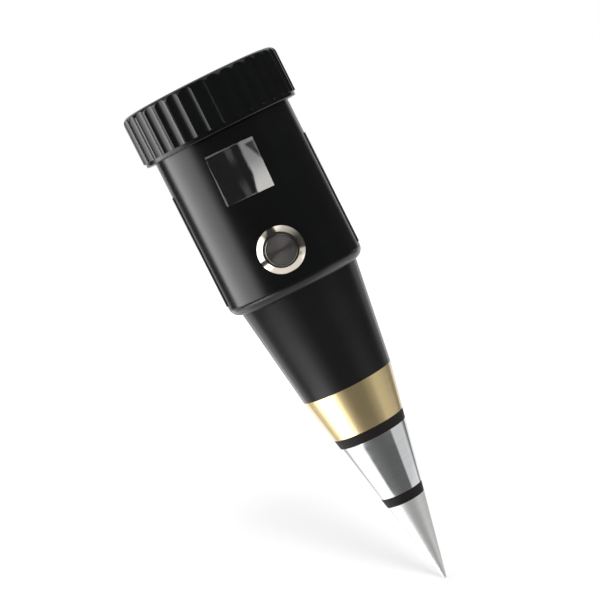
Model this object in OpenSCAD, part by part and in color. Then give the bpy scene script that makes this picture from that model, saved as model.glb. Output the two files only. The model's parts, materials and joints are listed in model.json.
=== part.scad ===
// Soil pH and moisture meter: a push-in probe with a dial in its cap. Millimetres.
// The probe points down with its tip at the origin, the dial looks up along +Z with its
// scale towards +Y, and the push button faces -Y.

/* [Probe] */
// Length of the pointed tip electrode
tip_len = 27.2; // [22:0.1:34]
// Height of each insulating ring
ring_h = 3.1; // [2.6:0.1:5]
// Length of the middle electrode
middle_len = 19.2; // [14:0.1:26]
// Length of the brass electrode
brass_len = 14.2; // [12:0.1:20]
// Diameter at the top of the brass electrode
probe_d = 28.9; // [28:0.1:31]
// Radius of the rounded point
point_r = 0.55; // [0.3:0.05:1]
// Diameter of the locating bosses on the upper ring
upper_boss_d = 10; // [8:0.1:10.6]
// Diameter of the locating bosses on the lower ring
lower_boss_d = 8.4; // [7.2:0.1:9]
// Height of the locating bosses
boss_h = 1.2; // [0.8:0.1:1.6]
// Thickness of the floor in the brass electrode
brass_floor = 4; // [3:0.1:5]
// Bore of the brass electrode
brass_bore_d = 15.8; // [15:0.1:17]
// Wall round the socket at the top of the brass electrode
brass_wall = 3.6; // [3:0.1:4.4]
// Depth of that socket
socket_h = 3; // [2:0.1:4]

/* [Tie rod] */
// Diameter of the rod that clamps the electrodes
rod_d = 4; // [3:0.1:4.4]
// Length of rod inside the tip electrode
rod_grip = 14; // [8:0.5:16]
// Wall of the insulating sleeve round the rod
sleeve_wall = 0.75; // [0.5:0.05:1]
// Diameter of the washer
washer_d = 11; // [9:0.1:11.4]
// Thickness of the washer
washer_h = 0.8; // [0.5:0.1:1.2]
// Thickness of the solder lug
lug_h = 0.6; // [0.4:0.1:1]
// Outer diameter of the ring of the solder lug
lug_d = 7.6; // [6.6:0.1:9]
// Reach of the solder lug from the rod's centre
lug_reach = 9.5; // [8:0.1:11]
// Width of the solder lug's tail
lug_w = 3; // [2:0.1:4]
// Width of the nut across its flats
nut_af = 7; // [6:0.1:8]
// Height of the nut
nut_h = 3.2; // [2.5:0.1:4]
// Length of rod above the nut
rod_end = 2; // [1:0.1:4]

/* [Cone] */
// Length of the black cone between the electrodes and the body
cone_len = 32; // [26:0.1:40]
// How far the cone's upper edge lies in from the side of the body
cone_step = 2.85; // [2:0.05:4]
// Wall of the cone at its lower end
cone_wall = 2.4; // [2:0.1:3]
// Height of the clamping web above the cone's lower end
web_up = 3; // [2:0.1:5]
// Thickness of the clamping web
web_h = 4; // [3:0.1:6]
// Wall of the threaded spigot on top of the cone
spigot_wall = 2; // [1.6:0.1:2.6]
// Length of spigot above the ring nut
spigot_end = 0.4; // [0.2:0.1:0.8]
// Height of the ring nut
lock_h = 2.4; // [2:0.1:2.8]
// Width of the ring nut outside the spigot
lock_w = 2.5; // [2:0.1:3]
// Gap between the ring nut and the bore of the body
lock_gap = 0.75; // [0.5:0.05:1.5]
// Width of the spanner notches in the ring nut
notch_w = 4; // [3:0.1:6]
// Depth of the spanner notches
notch_d = 1.2; // [0.8:0.1:1.4]

/* [Body] */
// Length of body between the cone and the cap
body_len = 51.1; // [48:0.1:60]
// Wall of the body
body_wall = 1.9; // [1.6:0.05:2]
// Thickness of the body's floor
body_floor = 2.6; // [2.2:0.1:3]
// Radius of the body's lower edge
body_round = 3.2; // [2:0.1:3.4]
// Number of inner ribs that carry the meter
rib_count = 4; // [4:4:8]
// Thickness of these ribs
rib_t = 1.6; // [1:0.1:2.4]
// How far they stand in from the wall
rib_in = 1.75; // [1.2:0.05:2]

/* [Labels] */
// Width of the foil sticker above the button
sticker_w = 14.8; // [10:0.1:18]
// Height of the foil sticker
sticker_h = 15.3; // [10:0.1:17]
// Turn of the sticker as it was stuck on, in degrees
sticker_turn = 2; // [-5:0.5:5]
// Place of the sticker's centre to the right of the button
sticker_x = -0.6; // [-3:0.1:3]
// Height of the sticker's centre above the button
sticker_up = 25.2; // [20:0.1:26]
// Thickness of the foil sticker
sticker_t = 0.12; // [0.08:0.01:0.3]
// Angle that the rear label wraps round the body
label_angle = 200; // [120:1:220]
// Height of the rear label
label_h = 35.8; // [20:0.1:38]
// Height of its lower edge above the cone
label_up = 4.2; // [3.6:0.1:8]
// Thickness of the rear label
label_t = 0.25; // [0.1:0.01:0.3]

/* [Cap] */
// Diameter over the crests of the flutes
cap_d = 50; // [45:0.1:56]
// Wall of the cap at these crests
cap_wall = 3; // [2.4:0.1:4]
// Height of the cap
cap_h = 15.9; // [15:0.1:20]
// Number of flutes
flute_count = 36; // [24:1:40]
// Depth of a flute
flute_depth = 0.6; // [0.3:0.05:0.8]
// Radius of a flute
flute_r = 4; // [3:0.1:6]
// Height of the plain lip below the flutes
lip_h = 1.3; // [0.8:0.1:3]
// How far the plain lip lies in from the crests
lip_in = 0.6; // [0.4:0.05:1]
// Rounding of the cap's upper edge
cap_round = 2; // [1:0.1:2.6]
// Rounding of the window's edge
window_round = 1.3; // [0.8:0.1:1.4]
// Thickness of the cap's top
cap_top_h = 3; // [2.4:0.1:4]
// Radius of the snap bead inside the cap
bead_r = 0.6; // [0.4:0.05:0.8]
// Height of the snap bead above the cap's lower end
bead_up = 4; // [3:0.1:6]

/* [Meter] */
// Height of the meter unit below the cap's top
meter_h = 19; // [18:0.1:22]
// Thickness of the clear window
lens_t = 1.8; // [1.4:0.1:2]
// How far the window stands up into the cap's opening
lens_rise = 1.4; // [1:0.1:1.8]
// Rounding of the window's edge
lens_round = 0.7; // [0.4:0.1:1]
// Thickness of the window's flange
lens_flange_h = 1.2; // [1:0.1:1.8]
// Width of the flange under the cap
lens_ledge = 1; // [0.8:0.1:1.6]
// Width of the joint between window and flange
lens_seat = 0.8; // [0.6:0.1:1.2]
// Wall of the window's skirt
lens_wall = 1.2; // [1:0.05:1.4]
// Height of the skirt
skirt_h = 5; // [4.8:0.1:6]
// Height of the waffle pad under the window
pad_h = 0.3; // [0.2:0.05:0.4]
// Place of the pad's straight edge in front of the dial's centre
pad_front = 5.1; // [4:0.1:6]
// Radius of the pad's arch round the pivot
pad_arch_r = 9.8; // [9.4:0.1:10.4]
// Wall of the meter case
case_wall = 1.2; // [1:0.05:1.4]
// Thickness of the meter case's floor
case_floor = 1.5; // [1.2:0.1:2]
// Thickness of the dial plate
dial_t = 0.5; // [0.3:0.05:0.6]
// Depth of the dial's face below the window
dial_gap = 3.5; // [3.4:0.05:3.8]
// Radius of the cut-out round the movement
dial_cut_r = 9; // [8.8:0.1:9.2]
// Place of the dial's front edge behind the pivot
dial_edge = 1; // [0.5:0.1:2]
// Place of the dial screws behind the pivot
dial_screw_back = 3.5; // [2.6:0.1:5]
// Thread diameter of small screws
screw_d = 1.6; // [1.4:0.1:1.8]
// Head diameter of small screws
screw_head_d = 2.8; // [2.4:0.1:3]
// Head height of small screws
screw_head_h = 0.4; // [0.3:0.05:0.45]
// Length of small screws under the head
screw_len = 4; // [3:0.1:6]
// Diameter of the posts that carry the dial
post_d = 3.4; // [3:0.1:4]
// Gap between a post and the wall of the meter case
post_gap = 1.25; // [0.5:0.05:1.4]

/* [Movement] */
// Gap between the yoke and the wall of the meter case
yoke_gap = 0.9; // [0.5:0.05:1.2]
// Outer diameter of the yoke ring
yoke_d = 12; // [11.8:0.1:12.2]
// Wall of the yoke ring
yoke_wall = 0.9; // [0.8:0.05:0.95]
// Height of the yoke above the case's floor
yoke_up = 2.6; // [2.4:0.05:3]
// Depth of the yoke's top below the dial's face
yoke_down = 2.6; // [2.4:0.05:3]
// Diameter of the magnet core
core_d = 7.6; // [7:0.1:7.8]
// How far the core stays below the yoke's ends
core_short = 0.2; // [0.1:0.05:0.4]
// Half the angle of a core spacer, in degrees
spacer_half = 18; // [10:1:20]
// Height of a core spacer
spacer_h = 4; // [2:0.1:5]
// Width of the coil's former
former_w = 3; // [2.6:0.05:3.1]
// Half the span of the former
former_half = 4.5; // [4.4:0.05:4.55]
// Wall of the former
former_wall = 0.3; // [0.2:0.05:0.35]
// Width of the copper winding
winding_w = 2.4; // [2:0.05:2.6]
// Thickness of the copper winding
winding_t = 0.3; // [0.2:0.05:0.35]
// How far the coil stands past the yoke's ends
coil_over = 1; // [0.9:0.05:1.1]
// Diameter of the pivot staff
staff_d = 0.8; // [0.6:0.05:0.9]
// Diameter of the pivot's bearing end
pivot_d = 0.4; // [0.3:0.05:0.5]
// Length of the pivot in its bearing
pivot_len = 0.5; // [0.4:0.05:0.55]
// Diameter of the staff's foot on the coil
foot_d = 2.4; // [2:0.1:3]
// Height of the staff's foot
foot_h = 0.3; // [0.2:0.05:0.35]
// Diameter of the spring collet
collet_d = 1.6; // [1.4:0.1:1.8]
// Height of a hairspring
spring_h = 0.35; // [0.2:0.05:0.4]
// Thickness of a hairspring's strip
spring_t = 0.1; // [0.08:0.01:0.15]
// Pitch of a hairspring's turns
spring_pitch = 0.5; // [0.4:0.05:0.55]
// Turns of a hairspring
spring_turns = 3.5; // [2.5:0.5:3.5]
// Diameter of the jewel screws
jewel_d = 2.2; // [2:0.1:2.6]
// Width of the needle
pointer_w = 0.9; // [0.6:0.05:1.2]
// Thickness of the needle
pointer_t = 0.3; // [0.2:0.05:0.4]
// Gap between the needle's end and the window's skirt, at the stops
pointer_end = 1.8; // [0.8:0.1:6]
// Reach of the needle's tail
tail_len = 5; // [4:0.1:5.4]
// Height of the needle above the dial
pointer_gap = 1.2; // [1:0.05:1.3]
// Diameter of the needle's hub
hub_d = 2.4; // [2:0.1:2.8]
// Height of the needle's hub
hub_h = 0.8; // [0.6:0.05:0.9]
// Angle of the needle to the right of centre when no current flows
rest_angle = 24; // [0:0.5:30]
// Angle either side of centre at which the needle meets a stop
stop_angle = 36; // [34:0.5:38]
// Diameter of a stop pin
stop_d = 0.7; // [0.5:0.05:0.8]
// Diameter of a balance weight
weight_d = 1.4; // [1:0.1:1.6]
// Height of a balance weight
weight_h = 0.6; // [0.4:0.05:0.8]
// Clearance of the bridge above the needle
bridge_gap = 0.35; // [0.25:0.05:0.4]
// Thickness of the bridge
bridge_t = 0.7; // [0.5:0.05:0.75]
// Width of the bridge
bridge_w = 3; // [2.8:0.1:3.4]
// Distance between the bridge's pillars
pillar_span = 14.8; // [14.6:0.1:15]
// Diameter of a pillar
pillar_d = 2.4; // [2.2:0.1:2.5]

/* [Circuit] */
// Distance of the meter's terminal studs from the ends of the board
stud_edge = 4; // [3.4:0.1:5]
// Place of the studs behind the dial's centre
stud_back = 5; // [4:0.1:6]
// Diameter of a terminal stud
stud_d = 3; // [2.5:0.1:3]
// Diameter of a stud's head
stud_head_d = 5.2; // [4.6:0.1:6]
// Height of a stud's head
stud_head_h = 1.2; // [1:0.1:1.6]
// Width of a stud's nut across its flats
stud_nut_af = 5.5; // [5:0.1:6]
// Height of a stud's nut
stud_nut_h = 2.2; // [1.8:0.1:2.6]
// Length of a stud below its last nut
stud_end = 1.2; // [0.6:0.1:3]
// Gap between the corners of the circuit board and the ribs of the body
board_gap = 1.05; // [0.6:0.05:2]
// Depth of the circuit board
board_d = 12; // [11:0.1:13]
// Thickness of the circuit board
board_t = 1.6; // [1:0.1:1.6]
// Length of a resistor's body
resistor_len = 6.4; // [5:0.1:7]
// Diameter of a resistor's body
resistor_d = 2.4; // [1.8:0.1:2.6]
// Diameter of a resistor's wire
resistor_wire_d = 0.6; // [0.4:0.05:0.8]
// Length of wire beside a resistor's body
resistor_tail = 1.2; // [1:0.1:1.6]
// Distance of the resistors from the board's middle
resistor_row = 4.2; // [4:0.1:4.4]
// Width of the trimmer
trimmer_w = 4.6; // [4:0.1:5]
// Height of the trimmer's body
trimmer_h = 3; // [2:0.1:4]
// Diameter of the trimmer's rotor
trimmer_rotor_d = 3.4; // [2.6:0.1:3.8]
// Diameter of a lead
lead_d = 1.4; // [1:0.1:1.5]
// Distance of the lead holes from the axis
lead_x = 6.4; // [6.2:0.05:6.6]
// Depth of the solder holes in the electrodes
solder_depth = 2.5; // [1.5:0.1:3]

/* [Push button] */
// Height of the button's centre above the cone
button_up = 13.1; // [13:0.1:18]
// Diameter of the chromed flange
flange_d = 14; // [13.6:0.1:14.4]
// Thickness of the flange
flange_t = 2; // [1.6:0.1:2.4]
// Edge of the flange below its bevel
flange_edge = 0.9; // [0.6:0.1:1.2]
// Width of the flange's flat face round the button
flange_land = 0.5; // [0.3:0.1:0.8]
// Margin of the spot face round the flange
seat_margin = 0.15; // [0.1:0.05:0.3]
// Depth of the spot face where it is shallowest
seat_depth = 0.15; // [0.1:0.05:0.4]
// Thickness of the gasket under the flange
gasket_t = 0.3; // [0.2:0.05:0.5]
// Diameter of the threaded barrel
barrel_d = 12; // [11.8:0.1:12.4]
// Depth of the barrel behind the flange's face
barrel_len = 13; // [12.6:0.1:15]
// Wall of the barrel
barrel_wall = 0.7; // [0.6:0.05:0.8]
// Depth of the front lip that keeps the button in
barrel_lip = 3; // [2.6:0.1:3.4]
// Thickness of the body's wall under the switch
panel_t = 2.6; // [2.4:0.1:3]
// Height of the flat inside the body
panel_h = 15.4; // [14.4:0.1:15.8]
// Width of the switch nut across its flats
switch_nut_af = 14; // [13.6:0.1:14.4]
// Height of the switch nut
switch_nut_h = 2.2; // [1.8:0.1:3]
// Diameter of the button
button_d = 9.2; // [8.6:0.1:9.4]
// How far the button stands out of the flange
button_out = 1.2; // [0.6:0.1:2]
// Chamfer round the button's face
button_chamfer = 0.25; // [0.1:0.05:0.4]
// Travel of the button
button_travel = 2.2; // [1.5:0.1:2.2]
// Diameter of the collar behind the lip
collar_d = 10; // [9.8:0.05:10.2]
// Thickness of that collar
collar_t = 1.9; // [1.4:0.1:2]
// Diameter of the plunger
plunger_d = 4; // [3:0.1:4.4]
// Length of the plunger behind the button
plunger_len = 6; // [5.6:0.1:6.2]
// Free room for the return spring
spring_room = 4.8; // [4.7:0.1:5.2]
// Mean diameter of the return spring
coil_spring_d = 6.4; // [6:0.1:7]
// Wire diameter of the return spring
coil_wire_d = 0.4; // [0.3:0.05:0.45]
// Turns of the return spring
coil_turns = 5; // [3:0.5:5]
// Length of the switch's base
base_len = 6; // [5.6:0.1:8]
// Width of a switch terminal
term_w = 1.6; // [1.2:0.1:2]
// Thickness of a switch terminal
term_t = 0.5; // [0.4:0.05:0.8]
// Length of a switch terminal
term_len = 4; // [3:0.1:6]
// Distance between terminals side by side
term_pitch = 2.8; // [2.4:0.1:3]
// Distance between the two rows of terminals
term_rows = 4.4; // [3.6:0.1:4.8]

/* [Clearances] */
// Clearance between parts that slide together
fit = 0.1; // [0.05:0.01:0.12]
// Clearance between threads, drawn as plain cylinders
thread_fit = 0.05; // [0.03:0.01:0.08]
// Clearance of a part dropped into a bore
drop_fit = 0.25; // [0.2:0.01:0.3]
// Thickness of glue under a sticker
glue_t = 0.03; // [0.02:0.01:0.05]
// Clearance of a pivot in its bearing
pivot_fit = 0.05; // [0.03:0.01:0.08]

/* [Hidden] */
$fn = 96;
// overrun of cutting shapes, and overlap of shapes that are fused
over = 1;
fuse = 0.4;

black = [0.06, 0.06, 0.065];
steel = [0.62, 0.63, 0.65];
brass = [0.80, 0.62, 0.28];
aluminium = [0.80, 0.81, 0.82];
copper = [0.72, 0.36, 0.20];

// heights along the probe
z_lower_ring = tip_len;
z_middle = z_lower_ring + ring_h;
z_upper_ring = z_middle + middle_len;
z_brass = z_upper_ring + ring_h;
z_cone = z_brass + brass_len;
z_web = z_cone + web_up + web_h;
z_body = z_cone + cone_len;
z_spigot = z_body + body_floor + lock_h + spigot_end;
z_cap = z_body + body_len;
z_top = z_cap + cap_h;
z_button = z_body + button_up;
z_washer = z_web + washer_h;
z_nut = z_washer + lug_h;
z_rod_end = z_nut + nut_h + rod_end;

// heights in the meter unit
z_seat = z_top - cap_top_h;
z_glass = z_seat + lens_rise - lens_t;
z_rim = z_seat - skirt_h;
z_dial = z_glass - dial_gap;
z_ledge = z_seat - meter_h;
z_floor = z_ledge + case_floor;
z_yoke = z_floor + yoke_up;
z_yoke_top = z_dial - yoke_down;
z_coil = z_yoke - coil_over;
z_coil_top = z_yoke_top + coil_over;
z_pointer = z_dial + pointer_gap;
z_bridge = z_pointer + pointer_t + bridge_gap;
z_board_nut = z_ledge - stud_nut_h;
z_board = z_board_nut - board_t;
z_stud_nut = z_board - stud_nut_h;

// radii from the cap inwards: the body fits in the cap, and the meter unit in the body
cap_r = cap_d / 2;
lip_r = cap_r - lip_in;
cap_bore_r = cap_r - cap_wall;
bead_ring_r = cap_bore_r + bead_r / 4;
body_r = cap_bore_r - drop_fit;
bore_r = body_r - body_wall;
lock_r = bore_r - lock_gap;
spigot_r = lock_r - lock_w;
cone_top_r = body_r - cone_step;
meter_r = bore_r - drop_fit;
window_r = meter_r - lens_ledge;
lens_r = window_r - drop_fit;
skirt_bore_r = meter_r - lens_wall;
dial_r = skirt_bore_r - drop_fit;
case_r = meter_r - case_wall;

// the pivot, the dial's screws and the board's studs keep to the walls round them
yoke_r = yoke_d / 2;
gap_r = yoke_r - yoke_wall;
pivot_front = case_r - yoke_gap - yoke_r;
dial_front = pivot_front - dial_edge;
dial_screw_front = pivot_front - dial_screw_back;
dial_screw_x = sqrt(pow(case_r - post_gap - post_d / 2, 2) - pow(dial_screw_front, 2));
pointer_len = pivot_front * cos(stop_angle)
  + sqrt(pow(skirt_bore_r, 2) - pow(pivot_front * sin(stop_angle), 2)) - pointer_end;
board_half = sqrt(pow(bore_r - rib_in - board_gap, 2) - pow(stud_back + board_d / 2, 2));
stud_x = board_half - stud_edge;

// the probe is one long cone that runs into its rounded point
probe_r = probe_d / 2;
taper = atan(probe_r / (z_cone - point_r)) - asin(point_r / norm([probe_r, z_cone - point_r]));
function probe_r_at(z) = probe_r - (z_cone - z) * tan(taper);
function cone_r_at(z) = probe_r + (cone_top_r - probe_r) * (z - z_cone) / cone_len;

rod_r = rod_d / 2;
sleeve_r = rod_r + thread_fit + sleeve_wall;
sleeve_hole_r = sleeve_r + fit;
lead_hole_r = lead_d / 2 + fit;
socket_r = probe_r - brass_wall;
z_sleeve = tip_len - boss_h;

// depths of the push button, from the body's axis along Y
seat_r = flange_d / 2 + seat_margin;
y_seat = seat_depth - sqrt(body_r * body_r - seat_r * seat_r);
y_face = y_seat - gasket_t - flange_t;
y_panel = y_seat + panel_t;
y_collar = y_face + barrel_lip + fit;
y_button = y_collar + collar_t;
y_base = y_button + spring_room;
y_base_end = y_base + base_len;
y_term = y_base_end + term_len;
barrel_r = barrel_d / 2;
barrel_bore_r = barrel_r - barrel_wall;
button_r = button_d / 2;

// hairspring: a spiral strip between its collet and its anchor
spring_r0 = collet_d / 2 + spring_t;
spring_r1 = spring_r0 + spring_pitch * spring_turns;
anchor_d = 0.6;
anchor_x = -(spring_r1 + spring_t / 2 + thread_fit + anchor_d / 2);
spring_steps = 24;
z_low_spring = z_coil - foot_h - thread_fit - spring_h;
z_top_spring = z_coil_top + foot_h + 2 * thread_fit;
function spiral(turns, offset) = [
  for (i = [0:turns * spring_steps])
    let (a = 180 - 360 * (turns - i / spring_steps))
    let (r = spring_r0 + spring_pitch * i / spring_steps + offset)
    [r * cos(a), r * sin(a)]
];
function reversed(list) = [for (i = [len(list) - 1:-1:0]) list[i]];

// leads: a round tube of eight sides swept along a smooth line through chosen points
lead_sides = 8;
lead_steps = 4;
function mid(p, i, t) =
  let (a = p[max(i - 1, 0)], b = p[i], c = p[i + 1], d = p[min(i + 2, len(p) - 1)])
  0.5 * (2 * b + (c - a) * t + (2 * a - 5 * b + 4 * c - d) * t * t
    + (3 * b - a - 3 * c + d) * t * t * t);
function smooth(p) = concat(
  [for (i = [0:len(p) - 2], k = [0:lead_steps - 1]) mid(p, i, k / lead_steps)], [p[len(p) - 1]]);
function heading(p, i) =
  let (v = p[min(i + 1, len(p) - 1)] - p[max(i - 1, 0)]) v / norm(v);
function side_of(v) = let (s = cross(v, [1, 0, 0])) s / norm(s);
module lead(points) {
  line = smooth(points);
  rings = len(line);
  verts = [
    for (i = [0:rings - 1], k = [0:lead_sides - 1])
      let (t = heading(line, i), n = side_of(t), b = cross(t, n), a = 360 * k / lead_sides)
      line[i] + lead_d / 2 * (cos(a) * n + sin(a) * b)
  ];
  sides = [
    for (i = [0:rings - 2], k = [0:lead_sides - 1])
      let (a = i * lead_sides + k, b = i * lead_sides + (k + 1) % lead_sides)
      each [[a, a + lead_sides, b], [b, a + lead_sides, b + lead_sides]]
  ];
  last = (rings - 1) * lead_sides;
  ends = [
    for (k = [1:lead_sides - 2])
      each [[0, k, k + 1], [last, last + k + 1, last + k]]
  ];
  polyhedron(points = verts, faces = concat(sides, ends));
}

// Shapes that repeat

module ring(r_out, r_in, h) {
  difference() {
    cylinder(r = r_out, h = h);
    translate([0, 0, -over]) cylinder(r = r_in, h = h + 2 * over);
  }
}

module hex_nut(af, r_in, h) {
  difference() {
    cylinder(d = af / cos(30), h = h, $fn = 6);
    translate([0, 0, -over]) cylinder(r = r_in, h = h + 2 * over);
  }
}

module screw(d, head_d, head_h, length) {
  difference() {
    union() {
      cylinder(d = head_d, h = head_h);
      translate([0, 0, -length]) cylinder(d = d, h = length + head_h / 2);
    }
    translate([-head_d / 2 - over, -head_d / 10, head_h / 2])
      cube([head_d + 2 * over, head_d / 5, head_h]);
  }
}

// half section of a ring whose upper outer corner is rounded
module rounded_section(r0, z0, r1, z1, round) {
  translate([r0, z0]) square([r1 - r0 - round, z1 - z0]);
  translate([r0, z0]) square([r1 - r0, z1 - z0 - round]);
  translate([r1 - round, z1 - round]) circle(r = round);
}

module at_pivot() {
  translate([0, -pivot_front, 0]) children();
}

// turns a shape drawn along +Z so that it runs along +Y at the button's height
module into_body(y) {
  translate([0, y, z_button]) rotate([-90, 0, 0]) children();
}

// Head

module bezel_cap() {
  color(black) difference() {
    rotate_extrude() difference() {
      union() {
        rounded_section(window_r, z_cap + lip_h, cap_r, z_top, cap_round);
        translate([cap_bore_r - over, z_cap])
          square([lip_r - cap_bore_r + over, lip_h + fuse]);
      }
      difference() {
        translate([0, z_cap - over]) square([cap_bore_r, z_seat - z_cap + over]);
        translate([bead_ring_r, z_cap + bead_up]) circle(r = bead_r);
      }
      difference() {
        translate([window_r - over, z_top - window_round])
          square([over + window_round, 2 * window_round]);
        translate([window_r + window_round, z_top - window_round]) circle(r = window_round);
      }
    }
    for (i = [0:flute_count - 1])
      rotate(i * 360 / flute_count)
        translate([cap_r - flute_depth + flute_r, 0, z_cap + lip_h])
          cylinder(r = flute_r, h = cap_h);
  }
}

module pad_outline() {
  intersection() {
    circle(r = lens_r - lens_seat);
    union() {
      translate([-window_r, -2 * window_r]) square([2 * window_r, 2 * window_r - pad_front]);
      translate([0, -pivot_front]) circle(r = pad_arch_r);
    }
  }
}

module lens() {
  color([0.85, 0.9, 0.92, 0.35]) {
    rotate_extrude() {
      rounded_section(0, z_glass, lens_r, z_seat + lens_rise, lens_round);
      translate([lens_r - lens_seat, z_seat - lens_flange_h])
        square([meter_r - lens_r + lens_seat, lens_flange_h]);
      translate([meter_r - lens_wall, z_rim]) square([lens_wall, skirt_h]);
    }
    translate([0, 0, z_glass - pad_h]) linear_extrude(pad_h + fuse) pad_outline();
  }
}

module dial_plate() {
  color(aluminium) translate([0, 0, z_dial - dial_t]) difference() {
    linear_extrude(dial_t) difference() {
      circle(r = dial_r);
      translate([-dial_r, -2 * dial_r - dial_front]) square([2 * dial_r, 2 * dial_r]);
      translate([0, -pivot_front]) circle(r = dial_cut_r);
    }
    dial_screw_places()
      translate([0, 0, -over]) cylinder(d = screw_d + 2 * fit, h = dial_t + 2 * over);
  }
}

module dial_screw_places() {
  for (side = [-1, 1]) translate([side * dial_screw_x, -dial_screw_front, 0]) children();
}

module dial_screws() {
  color(steel) dial_screw_places()
    translate([0, 0, z_dial]) screw(screw_d, screw_head_d, screw_head_h, screw_len);
}

module stud_places() {
  for (side = [-1, 1]) translate([side * stud_x, stud_back, 0]) children();
}

module meter_case() {
  color([0.78, 0.78, 0.76]) difference() {
    union() {
      translate([0, 0, z_ledge]) cylinder(r = meter_r, h = case_floor);
      translate([0, 0, z_ledge]) ring(meter_r, case_r, z_rim - z_ledge);
      translate([0, 0, z_floor - fuse]) dial_screw_places()
        cylinder(d = post_d, h = z_dial - dial_t - z_floor + fuse);
      at_pivot() translate([0, 0, z_floor - fuse]) {
        ring(yoke_r, gap_r, yoke_up + fuse);
        translate([anchor_x, 0, 0])
          cylinder(d = anchor_d, h = z_low_spring + spring_h - z_floor + fuse);
      }
    }
    translate([0, 0, z_dial - screw_len - fuse]) dial_screw_places()
      cylinder(d = screw_d + 2 * thread_fit, h = screw_len + over);
    translate([0, 0, z_ledge - over]) {
      at_pivot() cylinder(d = jewel_d + 2 * thread_fit, h = case_floor + 2 * over);
      stud_places() cylinder(d = stud_d + 2 * fit, h = case_floor + 2 * over);
    }
  }
}

module movement_yoke() {
  color([0.45, 0.46, 0.48]) at_pivot()
    translate([0, 0, z_yoke]) ring(yoke_r, gap_r, z_yoke_top - z_yoke);
}

module magnet_core() {
  color([0.30, 0.30, 0.32]) at_pivot()
    translate([0, 0, z_yoke + core_short])
      cylinder(d = core_d, h = z_yoke_top - z_yoke - 2 * core_short);
}

module core_spacers() {
  z_mid = (z_yoke + z_yoke_top) / 2;
  color(brass) at_pivot() for (a = [90, 270])
    rotate(a - spacer_half) translate([0, 0, z_mid - spacer_h / 2])
      rotate_extrude(angle = 2 * spacer_half)
        translate([core_d / 2 + thread_fit, 0])
          square([gap_r - core_d / 2 - 2 * thread_fit, spacer_h]);
}

module pillar_places() {
  for (side = [-1, 1]) translate([side * pillar_span / 2, -pivot_front, 0]) children();
}

module bridge_pillars() {
  color(brass) pillar_places() difference() {
    translate([0, 0, z_floor]) cylinder(d = pillar_d, h = z_bridge - z_floor);
    translate([0, 0, z_bridge + bridge_t - screw_len - fuse])
      cylinder(d = screw_d + 2 * thread_fit, h = screw_len + over);
  }
}

module top_bridge() {
  color(aluminium) difference() {
    union() {
      translate([-pillar_span / 2, -pivot_front - bridge_w / 2, z_bridge])
        cube([pillar_span, bridge_w, bridge_t]);
      pillar_places() translate([0, 0, z_bridge]) cylinder(d = bridge_w, h = bridge_t);
      at_pivot() translate([anchor_x, 0, z_top_spring])
        cylinder(d = anchor_d, h = z_bridge - z_top_spring + fuse);
    }
    translate([0, 0, z_bridge - over]) {
      pillar_places() cylinder(d = screw_d + 2 * fit, h = bridge_t + 2 * over);
      at_pivot() cylinder(d = jewel_d + 2 * thread_fit, h = bridge_t + 2 * over);
    }
  }
}

module bridge_screws() {
  color(steel) pillar_places()
    translate([0, 0, z_bridge + bridge_t]) screw(screw_d, screw_head_d, screw_head_h, screw_len);
}

module jewel_screw(length) {
  difference() {
    translate([0, 0, -pivot_len - fit]) difference() {
      cylinder(d = jewel_d, h = length);
      translate([-jewel_d, -jewel_d / 10, length - jewel_d / 6])
        cube([2 * jewel_d, jewel_d / 5, jewel_d]);
    }
    translate([0, 0, -pivot_len - fit - over])
      cylinder(d = pivot_d + 2 * pivot_fit, h = pivot_len + fit + over);
  }
}

// the bearing end of each staff lies pivot_len deep in its jewel screw
z_low_pivot = z_low_spring - thread_fit;
low_jewel_len = z_low_pivot - z_ledge + 1;
top_jewel_len = bridge_t + screw_head_h;

module jewel_screws() {
  color([0.75, 0.60, 0.35]) at_pivot() {
    translate([0, 0, z_bridge + pivot_len + fit]) jewel_screw(top_jewel_len);
    translate([0, 0, z_low_pivot - fit - pivot_len - fit])
      mirror([0, 0, 1]) jewel_screw(low_jewel_len - fit);
  }
}

// the needle's half width and the pin's radius, seen from the pivot
stop_ring_r = (yoke_r + gap_r) / 2;
stop_turn = stop_angle + asin((pointer_w / 2 + stop_d / 2 + fit) / stop_ring_r);

module pointer_stops() {
  color(steel) at_pivot() for (side = [-1, 1])
    rotate(side * stop_turn) translate([0, stop_ring_r, z_yoke_top])
      cylinder(d = stop_d, h = z_pointer + pointer_t - z_yoke_top);
}

module hairsprings() {
  color([0.78, 0.55, 0.30]) at_pivot() for (z = [z_low_spring, z_top_spring])
    translate([0, 0, z]) linear_extrude(spring_h)
      polygon(concat(spiral(spring_turns, -spring_t / 2),
        reversed(spiral(spring_turns, spring_t / 2))));
}

// the moving system turns as one piece about the pivot
module moving() {
  at_pivot() rotate(-rest_angle) children();
}

module pointer() {
  color([0.92, 0.25, 0.16]) moving() translate([0, 0, z_pointer]) difference() {
    union() {
      translate([-pointer_w / 2, -tail_len, 0]) cube([pointer_w, tail_len + pointer_len, pointer_t]);
      translate([0, 0, pointer_t - hub_h]) cylinder(d = hub_d, h = hub_h);
    }
    translate([0, 0, -hub_h - over]) cylinder(d = staff_d + 2 * thread_fit, h = 2 * hub_h + 2 * over);
  }
}

module frame_box(half, wall, width, z0, z1) {
  translate([-half, -width / 2, z0]) difference() {
    cube([2 * half, width, z1 - z0]);
    translate([wall, -over, wall]) cube([2 * half - 2 * wall, width + 2 * over, z1 - z0 - 2 * wall]);
  }
}

module coil_former() {
  color(aluminium) moving()
    frame_box(former_half, former_wall, former_w, z_coil + winding_t, z_coil_top - winding_t);
}

module coil_winding() {
  color(copper) moving()
    frame_box(former_half + winding_t, winding_t, winding_w, z_coil, z_coil_top);
}

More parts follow.
